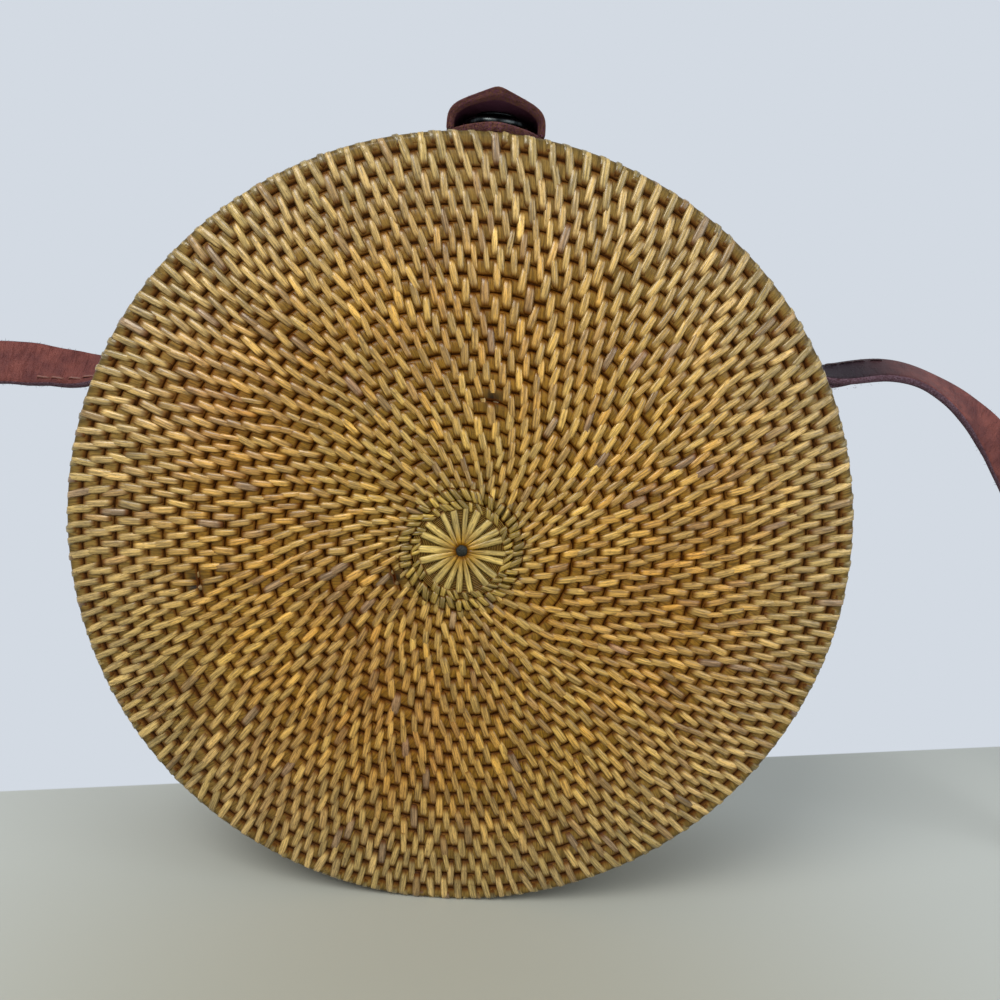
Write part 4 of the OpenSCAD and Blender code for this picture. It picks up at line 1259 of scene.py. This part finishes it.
TAB_COLUMNS = 57
TAB_ROWS = 90
TAB_RISE = 5.5
EDGE_ROUND = 0.7
CORNER_ROUND = 3.0


def tab_lift(y):
    return smooth(-TAB_BEND, RAMP_END, y)


def edge_fade(depth):
    """Thickness of a leather sheet at some depth in from its cut edge: its corners are rounded."""
    return (1 - (1 - np.clip(depth / EDGE_ROUND, 0, 1)) ** 3) ** (1 / 3)


def edge_spaced(count):
    """Numbers from -1 to 1 that crowd towards the ends, so that edges are round."""
    return np.sin(np.pi / 2 * np.linspace(-1, 1, count))


def arch_places(count):
    """Places from -1 to 1 across the arch w^4 + h^4 = 1, even along its line but for crowded ends."""
    turn = np.linspace(0, np.pi / 2, 2000)
    w, h = np.sin(turn) ** (2 / ARCH_SQUARENESS), np.cos(turn) ** (2 / ARCH_SQUARENESS)
    run = run_along(np.stack([w * TAB_HALF, h * TAB_RISE], -1))
    spaced = edge_spaced(count)
    return np.sign(spaced) * np.interp(np.abs(spaced) * run[-1], run, w)


def edge_depth(sheet):
    """How far in from its nearest cut edge each point of a sheet lies, along the sheet."""
    found = []
    for axis in (0, 1):
        steps = np.linalg.norm(np.diff(sheet, axis=axis), axis=-1)
        run = np.insert(np.cumsum(steps, axis), 0, 0, axis)
        found += [run, np.take(run, [-1], axis) - run]
    return np.min(found, 0)


def point_reach(w):
    """How far forward the leather's outline reaches, w from -1 to 1 across it: a blunt wedge."""
    wedge = np.hypot(w, BLUNT_SHARE) - BLUNT_SHARE
    return TAB_TIP - POINT_L * wedge / (math.hypot(1, BLUNT_SHARE) - BLUNT_SHARE)


def leather_shell(name, over, under, w, body, replaces):
    """A closed sheet of leather from its upper and lower face, over w from -1 to 1 across it.

    The two faces share their rim, because the thickness fades to nothing there.
    """
    def both(upper, lower):
        return np.concatenate([upper, lower[:, ::-1]], 1)

    depth = edge_depth(over)
    middle, half = (over + under) / 2, (over - under) / 2 * edge_fade(depth)[..., None]
    worn = 1 - smooth(0.15, 0.75, depth)
    part = both(0 * worn, 0 * worn + 1)
    y = -over[..., 1]
    across = w + 0 * y
    grain = side_by_side(both(across, across) * TAB_HALF, both(y, y), part * 9)
    return make_piece(name, both(middle + half, middle - half), tube_quads(len(over), 2 * over.shape[1]),
                      CLASP_LEATHER, body, "clasp_leather", replaces, grain=grain,
                      edge=both(worn, worn), part=part)


def corner_cut(d):
    """How much a rounded corner takes off the half width, d from the end."""
    inside = np.clip(CORNER_ROUND - d, 0, CORNER_ROUND)
    return CORNER_ROUND - np.sqrt(CORNER_ROUND ** 2 - inside ** 2)


def make_tab():
    """The tab: sewn over the back rim, bent behind the seam, arched over the snap, with a blunt point."""
    w = arch_places(TAB_COLUMNS)[None]
    v = edge_spaced(TAB_ROWS)[:, None]
    reach = point_reach(w)
    arch = (1 - np.abs(w) ** ARCH_SQUARENESS) ** (1 / ARCH_SQUARENESS)

    def face(upper):
        bevel = 0 if upper else TIP_BEVEL * np.clip(1 - np.abs(w) / 0.8, 0, 1) ** 1.3
        y = -TAB_END + (v + 1) / 2 * (reach - bevel + TAB_END)
        lift = tab_lift(y)
        curl = np.maximum(0, (y - (TAB_TIP - POINT_L)) / POINT_L)
        mid = RIM_TOP + (TAB_UNDER - RIM_TOP) * lift + TAB_CURL * curl ** 2
        cut = corner_cut(y + TAB_END)
        half_w = (TAB_HALF if upper else TAB_HALF - TAB_T * 0.8 * lift) - cut
        foot_r = RIM_TOP + (TAB_T + TAB_SKIRT) * lift
        foot_x = CLASP_X + np.sign(w) * half_w
        foot = np.sqrt(foot_r ** 2 - foot_x ** 2) + (TAB_T * (1 - lift) if upper else 0)
        top = mid + TAB_T * (1 if upper else 0.2 * smooth(TAB_TIP - 13, TAB_TIP - 6, y))
        x = CLASP_X + half_w * w
        sewn = np.sqrt((RIM_TOP + (TAB_T if upper else 0)) ** 2 - x ** 2)
        z = sewn + (foot + (top - foot) * arch - sewn) * smooth(0, 0.3, lift)
        return side_by_side(x, -y, CENTRE_Z + z)

    over, under = face(True), face(False)
    piece = leather_shell("clasp_strap", over, under, w, None, ["clasp_tab", "clasp_tab_end"])
    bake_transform(piece)
    make_edge_fibres("clasp_strap_fuzz", over, under, "clasp_flap", 5)


OUTLINE_STEPS = 300
FIBRES_PER_STEP = 8


def make_edge_fibres(name, over, under, body, seed):
    """Fibres round the free edge of a sheet of leather, in front of the bend, over its cut edge."""
    rng = np.random.default_rng(seed)

    def round_edge(grid):
        return np.concatenate([grid[:, 0], grid[-1], grid[::-1, -1]])

    chosen = -round_edge(over)[:, 1] > 2 - TAB_BEND
    path, half = round_edge((over + under) / 2)[chosen], round_edge((over - under) / 2)[chosen]
    length = run_along(path)
    fine = np.linspace(0, length[-1], OUTLINE_STEPS)
    path, half = rows_at(fine, length, path), rows_at(fine, length, half)
    along = unit(np.gradient(path, axis=0))
    out = unit(np.cross(along, half))
    out = out * np.sign(np.sum(out * (path - path.mean(0)), -1, keepdims=True))

    count = OUTLINE_STEPS * FIBRES_PER_STEP
    row = rng.integers(0, OUTLINE_STEPS, count)
    up = unit(half)[row]
    root = path[row] - out[row] * 0.15 + half[row] * rng.uniform(-0.75, 0.75, (count, 1))
    root = root + along[row] * rng.normal(0, 0.2, (count, 1))
    lean = out[row] + up * rng.normal(0, 0.5, (count, 1)) + along[row] * rng.normal(0, 0.7, (count, 1))
    tip = root + unit(lean) * rng.uniform(0.3, 1.15, (count, 1))
    make_fibres(name, root, tip, along[row], up, 0.06, 0, CLASP_LEATHER, "clasp_leather", body)


def make_base():
    """The patch under the tab, sewn round the front half's rim, with the same blunt point."""
    w = edge_spaced(41)[None]
    v = edge_spaced(50)[:, None]
    y = BASE_BACK + (v + 1) / 2 * (point_reach(w) - BASE_BACK)
    x = CLASP_X + TAB_HALF * w
    over, under = (side_by_side(x, -y, CENTRE_Z + np.sqrt(radius ** 2 - x ** 2))
                   for radius in (PATCH_TOP - 1.1 * np.abs(w) ** 5, RIM_TOP))
    leather_shell("clasp_patch", over, under, w, "front_half", ["clasp_base"])
    make_edge_fibres("clasp_patch_fuzz", over, under, "front_half", 6)


STITCH_RING = 8


def make_stitches(name, middles, along, out, body, replaces, material=WAXED, length=3.4, size=0.42):
    """Thread stitches: each is a short bowed tube whose ends sink into the leather."""
    middles, along, out = (np.asarray(value, float)[:, None] for value in (middles, along, out))
    t = np.linspace(-1, 1, 9)
    turn = round_angles(STITCH_RING)
    bow = 0.12 + 0.28 * (1 - t ** 4) - 0.75 * smooth(0.8, 1.0, np.abs(t))
    path = middles + along * (t * length / 2)[:, None] + out * bow[:, None]
    ridge = 1 + 0.1 * np.cos(2 * turn[None] + t[:, None] * 9)
    thick = (size * (1 - 0.25 * t ** 6))[:, None] * ridge
    points = tube_points(path, np.cross(along, out), out, thick, turn)
    each = np.arange(len(middles))[:, None, None]
    make_piece(name, points, tube_quads(len(t), STITCH_RING, len(middles)), material, body, "thread",
               replaces, grain=side_by_side(turn * size, t[:, None] * length / 2, each))


PATCH_STITCHES = 4
PATCH_STITCH_PITCH = 5.0


def patch_stitch_row(y):
    """Middles, directions and outward directions of a row of stitches across a patch on the rim."""
    x = CLASP_X + (np.arange(PATCH_STITCHES) - (PATCH_STITCHES - 1) / 2) * PATCH_STITCH_PITCH
    lean = np.arcsin(x / PATCH_TOP)
    out = np.stack([np.sin(lean), 0 * x, np.cos(lean)], -1)
    along = np.stack([np.cos(lean), 0 * x, -np.sin(lean)], -1)
    return out * PATCH_TOP + [0, y, CENTRE_Z], along, out


def make_clasp_stitches():
    make_stitches("patch_stitches", *patch_stitch_row(-BASE_BACK - 1.5), "front_half",
                  ["clasp_base_stitches"])
    rows = zip(patch_stitch_row(TAB_END - 3.0), patch_stitch_row(TAB_BEND + 3.0))
    make_stitches("tab_stitches", *map(np.concatenate, rows), "back_half", ["clasp_tab_stitches"])


FOLD_STITCH_START = 9.5
FOLD_STITCH_PITCH = 4.4
FOLD_STITCH_INSET = 1.9


def make_fold_stitches():
    """A row of stitches on each sewn fold of the strap, along its front edge on the left, else its rear."""
    middle, along, face, wide, run = strap_route()
    stations = np.arange(FOLD_STITCH_START, STRAP_FOLD - 1.0, FOLD_STITCH_PITCH)
    for end, from_bar, edge, thread in (("left", run, -1, WAXED), ("right", run[-1] - run, 1, SHADED_THREAD)):
        i = [int(np.argmin(np.abs(from_bar - s))) for s in stations]
        rear = edge * np.sign(wide[i][:, 1:2]) * wide[i]
        surface = middle[i] + face[i] * (PLY_CLEAR + STRAP_T / 2 - 0.06)
        make_stitches(f"fold_stitches_{end}", surface + rear * (STRAP_W / 2 - FOLD_STITCH_INSET), along[i],
                      face[i], "back_half", [], thread, length=4.6, size=0.3)


def turned(name, section, height, material, body, slot, replaces):
    """A part of the snap, turned about its axis, from a closed section of radius and height."""
    section = np.array(section, float)
    angle = round_angles(64)
    r, h = section[:, :1], section[:, 1:]
    points = side_by_side(CLASP_X + r * np.cos(angle), r * np.sin(angle) - SNAP_BACK, height + h)
    hollow = section[:, 0].min() > 0.1
    faces = tube_quads(len(section), len(angle), loop=hollow)
    make_piece(name, points, faces, material, body, slot, replaces)


def arc(r, h, size, low, high, steps=8):
    """Points of an arc of a section, from one angle to another in degrees."""
    turn = np.radians(np.linspace(low, high, steps))
    return [[r + size * math.cos(a), h + size * math.sin(a)] for a in turn]


def make_snap():
    """The socket plate on the base, the button under the tab, and the cap on top of it."""
    plate_z = CENTRE_Z + PATCH_TOP + 0.1
    plate = ([[1.6, 0.02], [7.0, 0.02]] + arc(7.0, 1.0, 1.0, -88, 88) + [[6.6, 1.98], [6.1, 1.72]]
             + [[4.3, 1.66]] + arc(3.5, 1.35, 0.65, 60, 150, 6) + [[2.85, 1.1], [1.6, 1.05]])
    turned("snap_socket", plate, plate_z, GUNMETAL, "front_half", "snap_metal", ["snap_plate"])
    button = ([[0.02, 0.0]] + arc(2.1, 0.35, 0.38, -88, 0, 5) + [[2.5, 0.6], [4.6, 0.62]]
              + arc(4.65, 0.9, 0.3, -80, 80, 6) + [[0.02, 1.2]])
    turned("snap_stud", button, plate_z + SNAP_PLATE_T + SNAP_AIR, GUNMETAL, "clasp_flap", "snap_metal",
           ["snap_button"])
    cap = [[0.02, 0.0], [4.5, 0.0]] + arc(4.62, 0.3, 0.32, -70, 80, 6)
    cap += [[4.3, 0.72], [3.2, 0.98], [1.8, 1.14], [0.8, 1.16], [0.02, 1.12]]
    turned("snap_cap_dome", cap, CENTRE_Z + TAB_UNDER + TAB_T + 0.1, BRASS, "clasp_flap", "snap_cap_metal",
           ["snap_cap"])


# Floor, light and world

WALL_TONE = rgba(211, 218, 227)
TABLE_TONE = rgba(188, 192, 187)
SHADE_TONE = rgba(166, 166, 153)
SHADE_AT = (0.0, -0.115, 0.0)
TABLE_EDGE_PX = ((0, 792), (1000, 747))
IMAGE_MIDDLE_PX = 500
FOCAL_PX = 1000


def floor_under(pixel):
    """Where the camera's ray through a pixel meets the ground."""
    turn = bpy.context.scene.camera.matrix_world.to_3x3()
    ray = turn @ Vector((pixel[0] - IMAGE_MIDDLE_PX, IMAGE_MIDDLE_PX - pixel[1], -FOCAL_PX))
    return CAMERA_AT - ray * (CAMERA_AT.z / ray.z)


FLOOR_SIZE = 1.6
FLOOR_Z = -0.00005
SHADE_RANGE = (0.03, 0.2)
LAMP_TARGET = Vector((0.0, 0.0, 0.1))


def make_floor():
    """A wide pale floor: a table top in front of a line behind the bag, and a paler tone beyond it."""
    corners = [(x * FLOOR_SIZE, y * FLOOR_SIZE, FLOOR_Z) for x, y in ((-1, -1), (1, -1), (1, 1), (-1, 1))]
    mesh = bpy.data.meshes.new("floor")
    mesh.from_pydata(corners, [], [(0, 1, 2, 3)])
    floor = new_object("floor", mesh)
    material, tree, shader = new_material("floor")
    shader.inputs["Roughness"].default_value = 0.7
    place = object_place(tree)
    away = add(tree, "ShaderNodeVectorMath", {0: place, 1: SHADE_AT}, operation="DISTANCE").outputs["Value"]
    shaded = spread_range(tree, away, *SHADE_RANGE, 1.0, 0.0)
    tree.links.new(mix_colour(tree, shaded, TABLE_TONE, SHADE_TONE), shader.inputs["Base Color"])
    left, right = (floor_under(pixel) for pixel in TABLE_EDGE_PX)
    across = (right - left).normalized()
    back = (-across.y, across.x, 0.0)
    line = left.x * back[0] + left.y * back[1]
    behind = add(tree, "ShaderNodeVectorMath", {0: place, 1: back}, operation="DOT_PRODUCT")
    beyond = spread_range(tree, behind.outputs["Value"], line, line + 0.001)
    glow = add(tree, "ShaderNodeEmission", {"Color": WALL_TONE, "Strength": 1.0})
    share = math_node(tree, "MULTIPLY", beyond, seen_rays(tree, "Is Camera Ray", "Is Glossy Ray"))
    mixed = add(tree, "ShaderNodeMixShader", {0: share, 1: shader.outputs[0], 2: glow.outputs[0]})
    tree.links.new(mixed.outputs[0], tree.nodes["Material Output"].inputs["Surface"])
    mesh.materials.append(material)


def make_lamp(name, place, size, power, tone):
    data = bpy.data.lights.new(name, "AREA")
    data.size = size
    data.energy = power
    data.color = tone
    lamp = new_object(name, data)
    lamp.location = place
    lamp.rotation_euler = (LAMP_TARGET - Vector(place)).to_track_quat("-Z", "Y").to_euler()


def make_world():
    """Even, slightly cool light, and the wall's tone where the camera and reflections look."""
    world = bpy.data.worlds.new("world")
    bpy.context.scene.world = world
    world.use_nodes = True
    tree = world.node_tree
    light = tree.nodes["Background"]
    light.inputs["Color"].default_value = (0.92, 0.96, 1.0, 1.0)
    light.inputs["Strength"].default_value = 0.55
    wall = add(tree, "ShaderNodeBackground", {"Color": WALL_TONE, "Strength": 1.0})
    seen = seen_rays(tree, "Is Camera Ray", "Is Glossy Ray", "Is Transmission Ray")
    mixed = add(tree, "ShaderNodeMixShader", {0: seen, 1: light.outputs[0], 2: wall.outputs[0]})
    tree.links.new(mixed.outputs[0], tree.nodes["World Output"].inputs["Surface"])


def set_plain_parts():
    """The rivet of the snap keeps the frame's own shape and gets its finish."""
    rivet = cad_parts["snap_plate_rivet"]
    rivet.data.materials.clear()
    rivet.data.materials.append(NICKEL)


make_camera()
make_strap()
for side, name, body, seed in ((FRONT, "front", "front_half", 3), (BACK, "back", "back_half", 4)):
    make_weave(side, name, body, seed, PATCHES)
    make_core(side, name, body, PATCHES)
    make_hub(side, name, body)
    make_edge_coil(side, name, body, seed + 10)
    make_rosette(side, name, body, seed + 20)
    make_eye(side, name, body)
    make_lining(side, name, body, seed + 30)
    make_lining_cord(side, name, body)
make_lashing()
make_ear("ear_left", EAR_LEFT_ANGLE, 41)
make_ear("ear_right", EAR_RIGHT_ANGLE, 42)
make_tab()
make_base()
make_clasp_stitches()
make_fold_stitches()
make_snap()
set_plain_parts()
make_floor()
make_lamp("key_lamp", (-0.5, -0.75, 0.95), 0.7, 11.0, (1.0, 0.98, 0.95))
make_lamp("fill_lamp", (0.8, -0.6, 0.5), 0.8, 4.0, (0.95, 0.98, 1.0))
make_world()
bpy.context.scene.view_settings.view_transform = "Standard"
